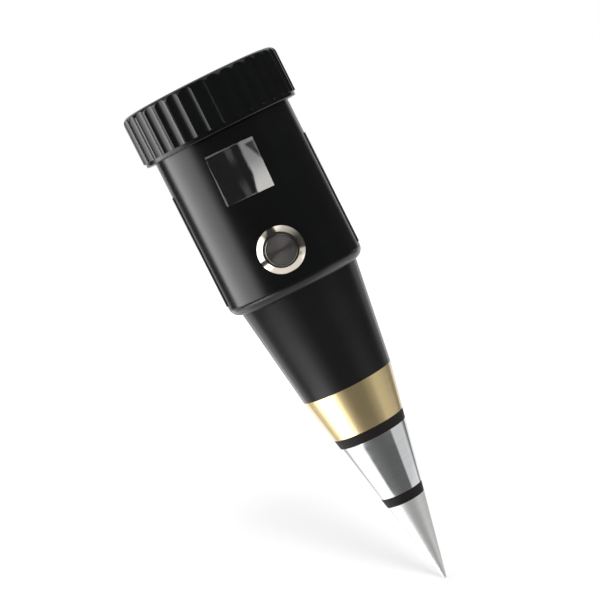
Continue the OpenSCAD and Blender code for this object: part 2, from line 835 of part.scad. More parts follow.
module pivot_staffs() {
  color(steel) moving() {
    translate([0, 0, z_coil_top]) {
      cylinder(d = foot_d, h = foot_h);
      cylinder(d = collet_d, h = z_top_spring + spring_h - z_coil_top);
      cylinder(d = staff_d, h = z_bridge - fit - z_coil_top);
      cylinder(d = pivot_d, h = z_bridge + pivot_len - z_coil_top);
    }
    translate([0, 0, z_coil]) mirror([0, 0, 1]) {
      cylinder(d = foot_d, h = foot_h);
      cylinder(d = collet_d, h = z_coil - z_low_pivot);
      cylinder(d = pivot_d, h = z_coil - z_low_pivot + fit + pivot_len);
    }
  }
}

module balance_weights() {
  color(steel) moving() for (r = [tail_len - weight_d / 2, tail_len - 2 * weight_d])
    translate([0, -r, z_pointer - weight_h]) cylinder(d = weight_d, h = weight_h);
}

// Electrical parts

module meter_terminals() {
  color(brass) stud_places() {
    translate([0, 0, z_floor]) cylinder(d = stud_head_d, h = stud_head_h, $fn = 6);
    translate([0, 0, z_stud_nut - stud_end])
      cylinder(d = stud_d, h = z_floor + stud_head_h / 2 - z_stud_nut + stud_end);
  }
}

module terminal_nuts() {
  color(steel) stud_places() for (z = [z_board_nut, z_stud_nut])
    translate([0, 0, z]) hex_nut(stud_nut_af, stud_d / 2 + thread_fit, stud_nut_h);
}

module circuit_board() {
  color([0.55, 0.42, 0.22]) difference() {
    translate([-board_half, stud_back - board_d / 2, z_board]) cube([2 * board_half, board_d, board_t]);
    translate([0, 0, z_board - over]) stud_places()
      cylinder(d = stud_d + 2 * fit, h = board_t + 2 * over);
  }
}

module resistors() {
  half = resistor_len / 2 + resistor_tail;
  drop = resistor_d / 2 + resistor_wire_d / 2;
  color([0.80, 0.70, 0.50]) for (side = [-1, 1])
    translate([0, stud_back + side * resistor_row, z_board - drop]) {
      translate([-resistor_len / 2, 0, 0]) rotate([0, 90, 0]) cylinder(d = resistor_d, h = resistor_len);
      translate([-half, 0, 0]) rotate([0, 90, 0]) cylinder(d = resistor_wire_d, h = 2 * half);
      for (end = [-1, 1]) translate([end * half, 0, -resistor_wire_d / 2])
        cylinder(d = resistor_wire_d, h = drop + resistor_wire_d / 2);
    }
}

module trimmer() {
  color([0.10, 0.25, 0.55]) translate([0, stud_back, z_board - trimmer_h]) difference() {
    union() {
      translate([-trimmer_w / 2, -trimmer_w / 2, 0]) cube([trimmer_w, trimmer_w, trimmer_h]);
      translate([0, 0, -fuse]) cylinder(d = trimmer_rotor_d, h = 2 * fuse);
    }
    translate([-trimmer_rotor_d / 3, -fuse / 2, -over]) cube([trimmer_rotor_d / 1.5, fuse, over]);
  }
}

// Body

module body_shell() {
  z_neck = z_seat - drop_fit;
  z_rib = z_body + body_floor + lock_h + spigot_end;
  color(black) difference() {
    union() {
      rotate_extrude() difference() {
        translate([0, z_body]) union() {
          square([body_r - body_round, z_neck - z_body]);
          translate([0, body_round]) square([body_r, z_neck - z_body - body_round]);
          translate([body_r - body_round, body_round]) circle(r = body_round);
        }
        translate([0, z_body + body_floor]) square([bore_r, z_neck - z_body]);
        translate([0, z_body - over]) square([spigot_r + fit, body_floor + 2 * over]);
        translate([bead_ring_r, z_cap + bead_up]) circle(r = bead_r + fit);
      }
      for (i = [0:rib_count - 1]) rotate((i + 0.5) * 360 / rib_count)
        translate([bore_r - rib_in, -rib_t / 2, z_rib])
          cube([rib_in + body_wall / 2, rib_t, z_ledge - z_rib]);
      intersection() {
        translate([0, 0, z_button - panel_h / 2]) cylinder(r = bore_r + body_wall / 2, h = panel_h);
        translate([-bore_r, -2 * bore_r, z_button - panel_h / 2])
          cube([2 * bore_r, 2 * bore_r + y_panel, panel_h]);
      }
    }
    into_body(-2 * body_r) cylinder(r = seat_r, h = 2 * body_r + y_seat);
    into_body(-body_r - over) cylinder(r = barrel_r + fit, h = body_r);
  }
}

module rear_label() {
  color([0.10, 0.10, 0.11]) rotate(90 - label_angle / 2)
    rotate_extrude(angle = label_angle)
      translate([body_r + glue_t, z_body + label_up]) square([label_t, label_h]);
}

module front_sticker() {
  z_mid = z_button + sticker_up;
  color([0.80, 0.82, 0.84]) intersection() {
    translate([0, 0, z_mid - sticker_h])
      ring(body_r + glue_t + sticker_t, body_r + glue_t, 2 * sticker_h);
    translate([sticker_x, 0, z_mid]) rotate([90, 0, 0]) rotate(sticker_turn)
      translate([-sticker_w / 2, -sticker_h / 2, 0]) cube([sticker_w, sticker_h, 2 * body_r]);
  }
}

module probe_cone() {
  color(black) difference() {
    union() {
      translate([0, 0, z_cone]) cylinder(r1 = probe_r, r2 = cone_top_r, h = cone_len);
      translate([0, 0, z_cone - socket_h + fit]) cylinder(r = socket_r - fit, h = socket_h);
      translate([0, 0, z_body - fuse]) cylinder(r = spigot_r, h = z_spigot - z_body + fuse);
    }
    translate([0, 0, z_cone - socket_h - over])
      cylinder(d = brass_bore_d, h = socket_h + over + web_up);
    translate([0, 0, z_web])
      cylinder(r1 = cone_r_at(z_web) - cone_wall, r2 = spigot_r - spigot_wall, h = z_spigot - z_web);
    translate([0, 0, z_spigot - over / 2]) cylinder(r = spigot_r - spigot_wall, h = over);
    translate([0, 0, z_cone]) {
      cylinder(r = sleeve_hole_r, h = web_up + web_h + over);
      for (side = [-1, 1])
        translate([side * lead_x, 0, 0]) cylinder(r = lead_hole_r, h = web_up + web_h + over);
    }
  }
}

module lock_ring() {
  color([0.14, 0.14, 0.15]) translate([0, 0, z_body + body_floor]) difference() {
    ring(lock_r, spigot_r + thread_fit, lock_h);
    for (a = [0, 90, 180, 270]) rotate(a)
      translate([lock_r - notch_d, -notch_w / 2, lock_h / 2])
        cube([notch_d + over, notch_w, lock_h]);
  }
}

// Push-button switch

module switch_barrel() {
  rear = barrel_len - flange_t;
  color(steel) into_body(y_face) difference() {
    union() {
      rotate_extrude() polygon([
        [0, 0], [button_r + fit + flange_land, 0], [flange_d / 2, flange_t - flange_edge],
        [flange_d / 2, flange_t], [0, flange_t]
      ]);
      translate([0, 0, flange_t - fuse]) cylinder(r = barrel_r, h = rear + fuse);
    }
    translate([0, 0, -over]) cylinder(r = button_r + fit, h = barrel_len + 2 * over);
    translate([0, 0, barrel_lip]) cylinder(r = barrel_bore_r, h = barrel_len);
  }
}

module switch_gasket() {
  color([0.08, 0.08, 0.08]) into_body(y_seat - gasket_t)
    ring(flange_d / 2 - fit, barrel_r + thread_fit, gasket_t);
}

module switch_nut() {
  color(steel) into_body(y_panel) hex_nut(switch_nut_af, barrel_r + thread_fit, switch_nut_h);
}

module switch_base() {
  room = plunger_len - spring_room + button_travel + 3 * fit;
  color([0.10, 0.10, 0.11]) into_body(y_base) difference() {
    cylinder(r = barrel_bore_r - thread_fit, h = base_len);
    translate([0, 0, -over]) cylinder(d = plunger_d + 2 * fit, h = room + over);
  }
}

module terminal_places() {
  for (row = [-1, 1], column = [-1, 0, 1])
    translate([column * term_pitch, y_base_end, z_button + row * term_rows / 2]) children();
}

module switch_terminals() {
  color(brass) terminal_places()
    translate([-term_w / 2, 0, -term_t / 2]) cube([term_w, term_len, term_t]);
}

// return spring: a round wire of six sides wound on a helix, with its ends flat on their seats
module button_spring() {
  sides = 6;
  steps = 16;
  rings = coil_turns * steps;
  wire_r = coil_wire_d / 2;
  rise = spring_room - coil_wire_d - 2 * thread_fit;
  verts = [
    for (i = [0:rings], k = [0:sides - 1])
      let (turn = 360 * i / steps, a = 360 * k / sides)
      let (r = coil_spring_d / 2 + wire_r * cos(a), z = rise * i / rings + wire_r * sin(a))
      [r * cos(turn), r * sin(turn), z]
  ];
  walls = [
    for (i = [0:rings - 1], k = [0:sides - 1])
      let (a = i * sides + k, b = i * sides + (k + 1) % sides)
      each [[a, b, a + sides], [b, b + sides, a + sides]]
  ];
  last = rings * sides;
  ends = [for (k = [1:sides - 2]) each [[0, k + 1, k], [last, last + k, last + k + 1]]];
  color(steel) into_body(y_button + wire_r + thread_fit)
    polyhedron(points = verts, faces = concat(walls, ends));
}

module button_cap() {
  front = y_collar - y_face + button_out;
  color([0.42, 0.41, 0.41]) into_body(y_face - button_out) rotate_extrude() polygon([
    [0, 0], [button_r - button_chamfer, 0], [button_r, button_chamfer], [button_r, front],
    [collar_d / 2, front], [collar_d / 2, front + collar_t], [0, front + collar_t]
  ]);
}

module button_plunger() {
  color([0.85, 0.84, 0.80]) into_body(y_button) cylinder(d = plunger_d, h = plunger_len);
}

// Probe

module sleeve_hole(z0, z1) {
  translate([0, 0, z0 - over]) cylinder(r = sleeve_hole_r, h = z1 - z0 + 2 * over);
}

module frustum(z0, z1) {
  translate([0, 0, z0]) cylinder(r1 = probe_r_at(z0), r2 = probe_r_at(z1), h = z1 - z0);
}

// recess for a locating boss, upwards from z or downwards from it
module boss_recess(z, d, up) {
  depth = boss_h + fit;
  translate([0, 0, up ? z - over : z - depth]) cylinder(d = d + 2 * fit, h = depth + over);
}

module insulating_ring(z, boss_d, lead_through) {
  difference() {
    union() {
      frustum(z, z + ring_h);
      translate([0, 0, z - boss_h]) cylinder(d = boss_d, h = ring_h + 2 * boss_h);
    }
    sleeve_hole(z - boss_h, z + ring_h + boss_h);
    if (lead_through)
      translate([lead_x, 0, z - over]) cylinder(r = lead_hole_r, h = ring_h + 2 * over);
  }
}

module brass_electrode() {
  color(brass) difference() {
    frustum(z_brass, z_cone);
    translate([0, 0, z_brass + brass_floor]) cylinder(d = brass_bore_d, h = brass_len);
    translate([0, 0, z_cone - socket_h]) cylinder(r = socket_r, h = socket_h + over);
    boss_recess(z_brass, upper_boss_d, true);
    sleeve_hole(z_brass, z_cone);
    translate([lead_x, 0, z_brass - over]) cylinder(r = lead_hole_r, h = brass_len);
    translate([-lead_x, 0, z_brass + brass_floor - solder_depth])
      cylinder(r = lead_hole_r, h = brass_len);
  }
}

module upper_ring() {
  color([0.10, 0.09, 0.08]) insulating_ring(z_upper_ring, upper_boss_d, true);
}

module middle_electrode() {
  color(aluminium) difference() {
    frustum(z_middle, z_upper_ring);
    boss_recess(z_middle, lower_boss_d, true);
    boss_recess(z_upper_ring, upper_boss_d, false);
    sleeve_hole(z_middle, z_upper_ring);
    translate([lead_x, 0, z_upper_ring - solder_depth])
      cylinder(r = lead_hole_r, h = solder_depth + over);
  }
}

module lower_ring() {
  color([0.10, 0.09, 0.08]) insulating_ring(z_lower_ring, lower_boss_d, false);
}

module tip_electrode() {
  steps = 8;
  nose = [
    for (i = [0:steps])
      let (a = (90 - taper) * i / steps)
      [point_r * sin(a), point_r * (1 - cos(a))]
  ];
  color(aluminium) difference() {
    rotate_extrude() polygon(concat(nose, [[probe_r_at(tip_len), tip_len], [0, tip_len]]));
    boss_recess(tip_len, lower_boss_d, false);
    translate([0, 0, tip_len - rod_grip - fit])
      cylinder(r = rod_r + thread_fit, h = rod_grip + over);
  }
}

module tie_rod() {
  color(steel) translate([0, 0, tip_len - rod_grip])
    cylinder(r = rod_r, h = z_rod_end - tip_len + rod_grip);
}

module rod_sleeve() {
  color([0.90, 0.90, 0.86]) translate([0, 0, z_sleeve])
    ring(sleeve_r, rod_r + thread_fit, z_web - z_sleeve);
}

module tie_washer() {
  color(steel) translate([0, 0, z_web]) ring(washer_d / 2, rod_r + thread_fit, washer_h);
}

module tip_lug() {
  color(brass) translate([0, 0, z_washer]) difference() {
    union() {
      cylinder(d = lug_d, h = lug_h);
      translate([-lug_w / 2, 0, 0]) cube([lug_w, lug_reach, lug_h]);
    }
    translate([0, 0, -over]) cylinder(r = rod_r + thread_fit, h = lug_h + 2 * over);
  }
}

module tie_nut() {
  color(steel) translate([0, 0, z_nut]) hex_nut(nut_af, rod_r + thread_fit, nut_h);
}

// Leads, each from its solder hole or lug to its switch terminal

z_low_row = z_button - term_rows / 2;
z_high_row = z_button + term_rows / 2;
lead_bow = 8;
lead_run = 5;

function to_terminal(x) = [
  [x, y_term + lead_bow, z_low_row - 2 * lead_run], [x, y_term + lead_run, z_low_row - lead_run / 4],
  [x, y_term + 2 * lead_d, z_low_row], [x, y_term + lead_d, z_low_row], [x, y_term, z_low_row]
];
function up_from(x, z) = [
  [x, 0, z], [x, 0, z_cone], [x, 0, z_web], [x, 0, z_web + lead_run], [x, 0, z_web + 2 * lead_run]
];

module middle_lead() {
  color([0.75, 0.10, 0.10])
    lead(concat(up_from(lead_x, z_upper_ring - solder_depth), to_terminal(term_pitch)));
}

module brass_lead() {
  color([0.85, 0.75, 0.10])
    lead(concat(up_from(-lead_x, z_brass + brass_floor - solder_depth), to_terminal(-term_pitch)));
}

module tip_lead() {
  y_lug = lug_reach - lug_w / 2;
  color([0.10, 0.45, 0.20]) lead(concat(
    [[0, y_lug, z_nut], [0, y_lug, z_nut + lead_run], [0, y_lug, z_body - lead_run]],
    to_terminal(0)));
}

module switch_leads() {
  x_pad = board_half - lead_d;
  y_pad = stud_back - board_d / 2 + lead_d;
  color([0.15, 0.25, 0.70]) for (side = [-1, 1]) lead([
    [side * term_pitch, y_term, z_high_row], [side * term_pitch, y_term + lead_d, z_high_row],
    [side * term_pitch, y_term + 2 * lead_d, z_high_row],
    [side * 2 * term_pitch, y_pad + lead_run, z_high_row + lead_run],
    [side * x_pad, y_pad, z_board - 2 * lead_run], [side * x_pad, y_pad, z_board - lead_run],
    [side * x_pad, y_pad, z_board]
  ]);
}

bezel_cap();
lens();
dial_plate();
dial_screws();
meter_case();
movement_yoke();
magnet_core();
core_spacers();
bridge_pillars();
top_bridge();
bridge_screws();
jewel_screws();
pointer_stops();
hairsprings();
pointer();
coil_former();
coil_winding();
pivot_staffs();
balance_weights();
meter_terminals();
terminal_nuts();
circuit_board();
resistors();
trimmer();
body_shell();
rear_label();
front_sticker();
probe_cone();
lock_ring();
switch_barrel();
switch_gasket();
switch_nut();
switch_base();
switch_terminals();
button_spring();
button_cap();
button_plunger();
brass_electrode();
upper_ring();
middle_electrode();
lower_ring();
tip_electrode();
tie_rod();
rod_sleeve();
tie_washer();
tip_lug();
tie_nut();
middle_lead();
brass_lead();
tip_lead();
switch_leads();
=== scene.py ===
# %% [markdown]
# # A soil pH and moisture meter
# The meter is a push-in probe with a dial in its cap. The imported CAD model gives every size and
# place, so this lesson dresses it: it sets up the camera and the light, gives each finish its
# shader, and models again, with Blender's own tools, the pieces whose edges and prints are seen
# from close by. Sizes are written in millimetres and turned into metres by `MM`.

# %% Load the frame
import json
import math

import bmesh
import bpy
from mathutils import Matrix, Vector


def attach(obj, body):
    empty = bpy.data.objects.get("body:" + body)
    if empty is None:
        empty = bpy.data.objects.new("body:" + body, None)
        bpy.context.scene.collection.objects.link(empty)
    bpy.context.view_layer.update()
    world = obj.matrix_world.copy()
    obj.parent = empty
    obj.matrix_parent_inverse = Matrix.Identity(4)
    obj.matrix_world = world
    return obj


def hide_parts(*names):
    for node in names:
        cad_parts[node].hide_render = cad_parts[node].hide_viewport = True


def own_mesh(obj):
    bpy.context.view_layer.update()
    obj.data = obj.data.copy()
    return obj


MM = 0.001

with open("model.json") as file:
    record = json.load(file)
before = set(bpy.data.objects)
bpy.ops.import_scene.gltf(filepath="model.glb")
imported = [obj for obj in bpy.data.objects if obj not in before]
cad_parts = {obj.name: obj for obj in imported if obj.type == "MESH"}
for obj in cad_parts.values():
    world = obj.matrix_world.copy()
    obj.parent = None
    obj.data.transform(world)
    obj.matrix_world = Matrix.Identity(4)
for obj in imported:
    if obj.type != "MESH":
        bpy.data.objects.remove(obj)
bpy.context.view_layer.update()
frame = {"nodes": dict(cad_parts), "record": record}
nodes = frame["nodes"]
slot_of = {part["node"]: part["material_slot"] for part in frame["record"]["subparts"]}

# %% [markdown]
# ## The camera
# The photographer stood a little above the middle of the meter, about half a metre away, and
# the meter leans in the picture. Here the meter stands straight in its own frame, so the camera
# is rolled instead. A long lens keeps the sides of the body nearly parallel.

# %% Place the camera
CAMERA_AIM = Vector((-1.623, 0, 94.876)) * MM
CAMERA_DISTANCE = 559.41 * MM
CAMERA_ELEVATION = math.radians(4.524)
CAMERA_ROLL = math.radians(-26.65)
CAMERA_LENS = 112.71

bpy.ops.object.select_all(action="DESELECT")
bpy.ops.object.camera_add()
camera = bpy.context.object
camera.name = "photo_camera"
forward = Vector((0, math.cos(CAMERA_ELEVATION), -math.sin(CAMERA_ELEVATION)))
level_up = Vector((0, math.sin(CAMERA_ELEVATION), math.cos(CAMERA_ELEVATION)))
level_right = Vector((1, 0, 0))
right = level_right * math.cos(CAMERA_ROLL) + level_up * math.sin(CAMERA_ROLL)
up = level_up * math.cos(CAMERA_ROLL) - level_right * math.sin(CAMERA_ROLL)
turned = Matrix((right, up, -forward)).transposed().to_4x4()
camera.matrix_world = Matrix.Translation(CAMERA_AIM - forward * CAMERA_DISTANCE) @ turned
camera.data.lens = CAMERA_LENS
camera.data.clip_start = 0.01
bpy.context.scene.camera = camera
bpy.context.scene.view_settings.view_transform = "Standard"
print("camera at", [round(v, 4) for v in camera.location])

# %% [markdown]
# ## Shader sums
# A shader is easier to read as a sum than as a tangle of nodes. `Socket` wraps a node's output,
# and an expression such as `1 - mask * 0.5` adds the Math nodes. `Nodes.add` makes any other
# node: its type, its settings, and the values or links of its inputs.

# %% Wrap sockets and node trees


class Socket:
    """A node's output. Sums and products written with it become Math nodes."""

    def __init__(self, nodes, output):
        self.nodes = nodes
        self.output = output

    def maths(self, operation, first, second=0.0):
        return self.nodes.add("Math", {"operation": operation}, {0: first, 1: second})

    def __add__(self, other):
        return self.maths("ADD", self, other)

    def __radd__(self, other):
        return self.maths("ADD", other, self)

    def __sub__(self, other):
        return self.maths("SUBTRACT", self, other)

    def __rsub__(self, other):
        return self.maths("SUBTRACT", other, self)

    def __mul__(self, other):
        return self.maths("MULTIPLY", self, other)

    def __rmul__(self, other):
        return self.maths("MULTIPLY", other, self)

    def __abs__(self):
        return self.maths("ABSOLUTE", self)


class Nodes:
    """A node tree that is filled by one method, with names for what is used often."""

    def __init__(self, tree):
        self.tree = tree
        tree.nodes.clear()

    def add(self, kind, settings=None, inputs=None, out=0):
        node = self.tree.nodes.new("ShaderNode" + kind)
        for name, value in (settings or {}).items():
            setattr(node, name, value)
        for name, value in (inputs or {}).items():
            if isinstance(value, Socket):
                self.tree.links.new(value.output, node.inputs[name])
            else:
                node.inputs[name].default_value = value
        return Socket(self, node.outputs[out]) if node.outputs else None

    def step(self, value, low, high):
        """0 below low, 1 above high, and a soft rise between them."""
        ends = {"Value": value, "From Min": low, "From Max": high}
        return self.add("MapRange", {"interpolation_type": "SMOOTHSTEP"}, ends)

    def span(self, value, start, full, fade, end):
        """1 between full and fade, with soft edges that reach 0 at start and end."""
        return self.step(value, start, full) * (1 - self.step(value, fade, end))

    def blend(self, factor, first, second):
        """A colour between two colours."""
        return self.add("Mix", {"data_type": "RGBA"}, {0: factor, 6: first, 7: second}, out=2)

    def place(self, stretch=(1, 1, 1)):
        """Object coordinates in millimetres, stretched along the axes."""
        point = self.add("TexCoord", out="Object")
        scale = tuple(s / MM for s in stretch)
        return self.add("Mapping", {"vector_type": "POINT"}, {"Vector": point, "Scale": scale})

    def noise(self, size, stretch=(1, 1, 1), detail=2.0):
        """Noise whose blotches are about this many millimetres across, from 0 to 1."""
        inputs = {"Vector": self.place(stretch), "Scale": 1 / size, "Detail": detail}
        return self.add("TexNoise", {}, inputs)

    def axes(self):
        """Object coordinates in millimetres as three values."""
        place = self.place()
        return [self.add("SeparateXYZ", {}, {0: place}, out=axis) for axis in "XYZ"]

    def lines(self, along, pitch):
        """Lines of uneven depth, about this many millimetres apart, along a value."""
        inputs = {"W": along, "Scale": 1 / pitch, "Detail": 3.0}
        return self.add("TexNoise", {"noise_dimensions": "1D"}, inputs)

    def bump(self, height, depth):
        """A normal from a height of 0 to 1 that stands for this many millimetres."""
        return self.add("Bump", {}, {"Height": height, "Distance": depth * MM, "Strength": 1.0})


def colour(red, green, blue):
    return (red, green, blue, 1)


def tint(base, factor):
    """A colour made darker or lighter."""
    return (*(min(1, c * factor) for c in base[:3]), 1)


print("shader sums:", Socket.__name__, "and", Nodes.__name__, "ready")

# %% [markdown]
# ## The studio
# The meter stands on a white floor before a white background. Black gloss plastic and polished
# metal show only what they mirror, so the room is drawn in the world's shader by direction, as a
# photographer would set up lamps and cards. A direction has a turn, in degrees to the right of
# the camera's side, and a height `z`, from -1 straight down to 1 straight up. Two limits make one
# soft edge, and four make a span with a soft edge at each end.
#
# First come the walls. A large softbox on the left gives the grey stripe down the body. On the
# right are a weak card and a lighter area above it. The rest is dark, which keeps the front
# black.

# %% Draw the walls
DARK_LIGHT = 0.01
SOFTBOX_LIGHT = 4.4
SOFTBOX_SIDES = (-124, -116, -70, -48)
SOFTBOX_FOOT = (0.12, 0.17)
SOFTBOX_TOP = (0.7, 0.85)
SOFTBOX_LEAN = 14
LEAN_HEIGHTS = (0.05, 0.3)
SOFTBOX_WEAK_SHARE = 0.58
SOFTBOX_FULL = (60, 118)
CARD_LIGHT = 0.03
CARD_SIDES = (56, 64, 132, 138)
UPPER_LIGHT = 0.6
UPPER_SIDES = (12, 24, 110, 125)
UPPER_HEIGHTS = (0.1, 0.9)


def wall_light(n, turn, z):
    """The light from the walls in a direction."""
    softbox = n.span(turn - n.step(z, *LEAN_HEIGHTS) * SOFTBOX_LEAN, *SOFTBOX_SIDES)
    softbox = softbox * (1 - n.step(0 - z, *SOFTBOX_FOOT)) * (1 - n.step(z, *SOFTBOX_TOP))
    rise = n.step(0 - turn, *SOFTBOX_FULL) * (1 - SOFTBOX_WEAK_SHARE)
    softbox = softbox * (SOFTBOX_WEAK_SHARE + rise)
    card = n.span(turn, *CARD_SIDES)
    upper = n.step(z, *UPPER_HEIGHTS) * n.span(turn, *UPPER_SIDES)
    return DARK_LIGHT + softbox * SOFTBOX_LIGHT + card * CARD_LIGHT + upper * UPPER_LIGHT


print("walls: softbox between", SOFTBOX_SIDES[0], "and", SOFTBOX_SIDES[-1], "degrees")

# %% [markdown]
# The probe tapers, so its sides look down, and each of its pieces mirrors a ring of the floor. The
# floor is dark in front and light at the sides, which gives the electrodes their bands. A
# direction's depth says how far it lies below the ring that the cone mirrors. It tells the brass
# electrode's ring, with a glint on the left, from the rings of the middle one and the tip.

# %% Draw the floor as the probe mirrors it
CONE_DIP = 0.4015
BRASS_DEPTH = (0.14, 0.146)
TIP_DEPTH = (0.177, 0.183)
FRONT_FLOOR_LIGHT = 0.13
TIP_FLOOR_LIGHT = 0.15
SLANT_FLOOR_LIGHT = 0.07
SLANT_SIDES = (-16, 46)
LEFT_FLOOR_LIGHT = 1.1
BRASS_FLOOR_LIGHT = 1.0
LEFT_EDGE = (46, 60)
BRASS_EARLIER = 36
BRASS_LATER = 20
TIP_EARLIER = 46
BRASS_GLINT_LIGHT = 5.0
GLINT_SIDES = (34, 62)
GLINT_DEPTH = (0.04, 0.09)
REAR_FLOOR_LIGHT = 1.0
REAR_SIDES = (104, 118)
LEFT_FLOOR_END = (0.58, 0.64)
RIGHT_FLOOR_LIGHT = 0.53
RIGHT_EDGE = (56, 66)
NEAR_FLOOR_LIGHT = 0.5
NEAR_FLOOR_START = (0.57, 0.66)


def floor_light(n, turn, z):
    """The light from the floor in a direction."""
    down = 0 - z
    depth = down - turn.maths("COSINE", turn * (math.pi / 360)) * CONE_DIP
    by_brass = 1 - n.step(depth, *BRASS_DEPTH)
    by_tip = n.step(depth, *TIP_DEPTH)
    start = LEFT_EDGE[0] - by_brass * BRASS_EARLIER - by_tip * TIP_EARLIER
    rise = n.step(0 - turn, start, LEFT_EDGE[1] + by_brass * BRASS_LATER)
    rear = n.step(0 - turn, *REAR_SIDES)
    glint = n.step(0 - turn, *GLINT_SIDES) * by_brass * n.step(depth, *GLINT_DEPTH)
    left = rise * (LEFT_FLOOR_LIGHT + by_brass * BRASS_FLOOR_LIGHT) + glint * BRASS_GLINT_LIGHT
    left = left * (1 - rear) + rear * REAR_FLOOR_LIGHT
    left = left * (1 - n.step(down, *LEFT_FLOOR_END))
    right = n.step(turn, RIGHT_EDGE[0] - by_brass * BRASS_EARLIER, RIGHT_EDGE[1])
    slant = n.step(0 - turn, *SLANT_SIDES) * (1 - by_brass)
    front = FRONT_FLOOR_LIGHT + by_tip * TIP_FLOOR_LIGHT + slant * SLANT_FLOOR_LIGHT
    near = n.step(down, *NEAR_FLOOR_START)
    return front + left + right * RIGHT_FLOOR_LIGHT + near * NEAR_FLOOR_LIGHT


print("floor: light beyond", LEFT_EDGE[1], "degrees on the left,", RIGHT_EDGE[1], "on the right")

# %% [markdown]
# Behind the meter is the light background. Pieces that curve away from the camera mirror the far
# floor, in two strips under the level, and the rounded brow of the cap mirrors a lit ceiling.

# %% Draw the far floor and the ceiling
LEFT_HORIZON_LIGHT = 1.0
RIGHT_HORIZON_LIGHT = 0.45
HORIZON_SIDES = (114, 126, 155, 165)
HORIZON_FALL = (0.12, 0.17, 0.24, 0.28)
LEFT_GAP_LIGHT = 0.6
RIGHT_GAP_LIGHT = 0.2
GAP_SIDES = (104, 114, 155, 165)
GAP_FALL = (0.24, 0.28, 0.36, 0.42)
CEILING_LIGHT = 0.55
CEILING_HEIGHTS = (0.75, 0.9, 0.93, 0.97)
CEILING_DARK_TURN = -6
CEILING_DARK_WIDTH = (18, 30)
MIDDLE_EDGE = (-5, 5)


def far_light(n, turn, z):
    """The light from the far floor and the ceiling in a direction."""
    around = abs(turn)
    left = n.step(0 - turn, *MIDDLE_EDGE)
    horizon = n.span(around, *HORIZON_SIDES) * n.span(0 - z, *HORIZON_FALL)
    horizon = horizon * (RIGHT_HORIZON_LIGHT + left * (LEFT_HORIZON_LIGHT - RIGHT_HORIZON_LIGHT))
    gap = n.span(around, *GAP_SIDES) * n.span(0 - z, *GAP_FALL)
    gap = gap * (RIGHT_GAP_LIGHT + left * (LEFT_GAP_LIGHT - RIGHT_GAP_LIGHT))
    ceiling = n.step(abs(turn - CEILING_DARK_TURN), *CEILING_DARK_WIDTH)
    ceiling = ceiling * n.span(z, *CEILING_HEIGHTS) * CEILING_LIGHT
    return ceiling + horizon + gap


print("ceiling from height", CEILING_HEIGHTS[0], "to", CEILING_HEIGHTS[-1])

# %% [markdown]
# The world puts these together. Each kind of ray gets its own light: the camera sees white, mirror
# rays see the room, and all others an even light. A ray that leaves the window after no more than
# two of its surfaces was mirrored inside it, so it sees the room too, and the dial stays clear.

# %% Light the studio
ROOM_LIGHT = 0.9
FLOOR_EDGE = (0.32, 0.4)
BACK_LIGHT = 0.7
BACK_SIDES = (142, 150)
BACK_TOP = (0.9, 0.96)
THROUGH_WINDOW = (2.2, 2.8)


def light_room():
    """Make the world whose shader draws the room."""
    world = bpy.data.worlds.new("studio")
    world.use_nodes = True
    bpy.context.scene.world = world
    n = Nodes(world.node_tree)
    way = n.add("TexCoord", out="Generated")
    x, y, z = (n.add("SeparateXYZ", {}, {0: way}, out=axis) for axis in "XYZ")
    turn = x.maths("ARCTAN2", x, 0 - y) * (180 / math.pi)
    low = n.step(0 - z, *FLOOR_EDGE)
    back = n.step(abs(turn), *BACK_SIDES) * (1 - n.step(z, *BACK_TOP))
    mirrored = wall_light(n, turn, z) * (1 - low) + floor_light(n, turn, z) * low
    mirrored = mirrored * (1 - back) + back * BACK_LIGHT + far_light(n, turn, z)
    rays = ("Camera", "Transmission", "Glossy")
    seen, through, glossy = (n.add("LightPath", out=f"Is {ray} Ray") for ray in rays)
    deep = n.step(n.add("LightPath", out="Transmission Depth"), *THROUGH_WINDOW)
    white = 1 - (1 - seen) * (1 - through * deep)
    glossy = glossy + through * (1 - deep)
    level = white + (1 - white) * (glossy * mirrored + (1 - glossy) * ROOM_LIGHT)
    shade = n.add("Background", {}, {"Color": colour(1, 1, 1), "Strength": level})
    n.add("OutputWorld", {}, {"Surface": shade})
    return world


world = light_room()
print("world:", world.name, "with", len(world.node_tree.nodes), "shader nodes")

# %% [markdown]
# The floor is a large white sheet. It takes the meter's shadow, and a faint glow that only the
# camera sees carries it over into the white background. The meter doesn't mirror it, because the
# drawn room already holds a floor.

# %% Lay the floor
FLOOR_SIZE = 8.0
FLOOR_MOTTLE = 400
FLOOR_PAINT = (0.945, 0.965)
FLOOR_GLOW = 0.01
FAR_FLOOR_GLOW = 0.15
FAR_FLOOR = (200, 430)

bpy.ops.object.select_all(action="DESELECT")
bpy.ops.mesh.primitive_plane_add(size=FLOOR_SIZE)
floor = bpy.context.object
floor.name = "white_floor"
floor_paint = bpy.data.materials.new("floor_paint")
floor_paint.use_nodes = True
n = Nodes(floor_paint.node_tree)
white = n.blend(n.noise(FLOOR_MOTTLE), *(colour(grey, grey, grey) for grey in FLOOR_PAINT))
paint = n.add("BsdfDiffuse", {}, {"Color": white})
x, y, z = n.axes()
far = n.step(x.maths("SQRT", x * x + y * y), *FAR_FLOOR)
glow = n.add("LightPath", out="Is Camera Ray") * (FLOOR_GLOW + far * FAR_FLOOR_GLOW)
glow = n.add("Emission", {}, {"Color": colour(1, 1, 1), "Strength": glow})
n.add("OutputMaterial", {}, {"Surface": n.add("AddShader", {}, {0: paint, 1: glow})})
floor.data.materials.append(floor_paint)
floor.visible_glossy = False
print("floor:", FLOOR_SIZE, "m square")

# %% [markdown]
# A low, soft sun beside the camera casts the faint shadow that runs from the tip to the back. A
# sun lights the whole floor evenly, so that floor and background stay one white. The meter
# doesn't mirror it, which would show as a second stripe.

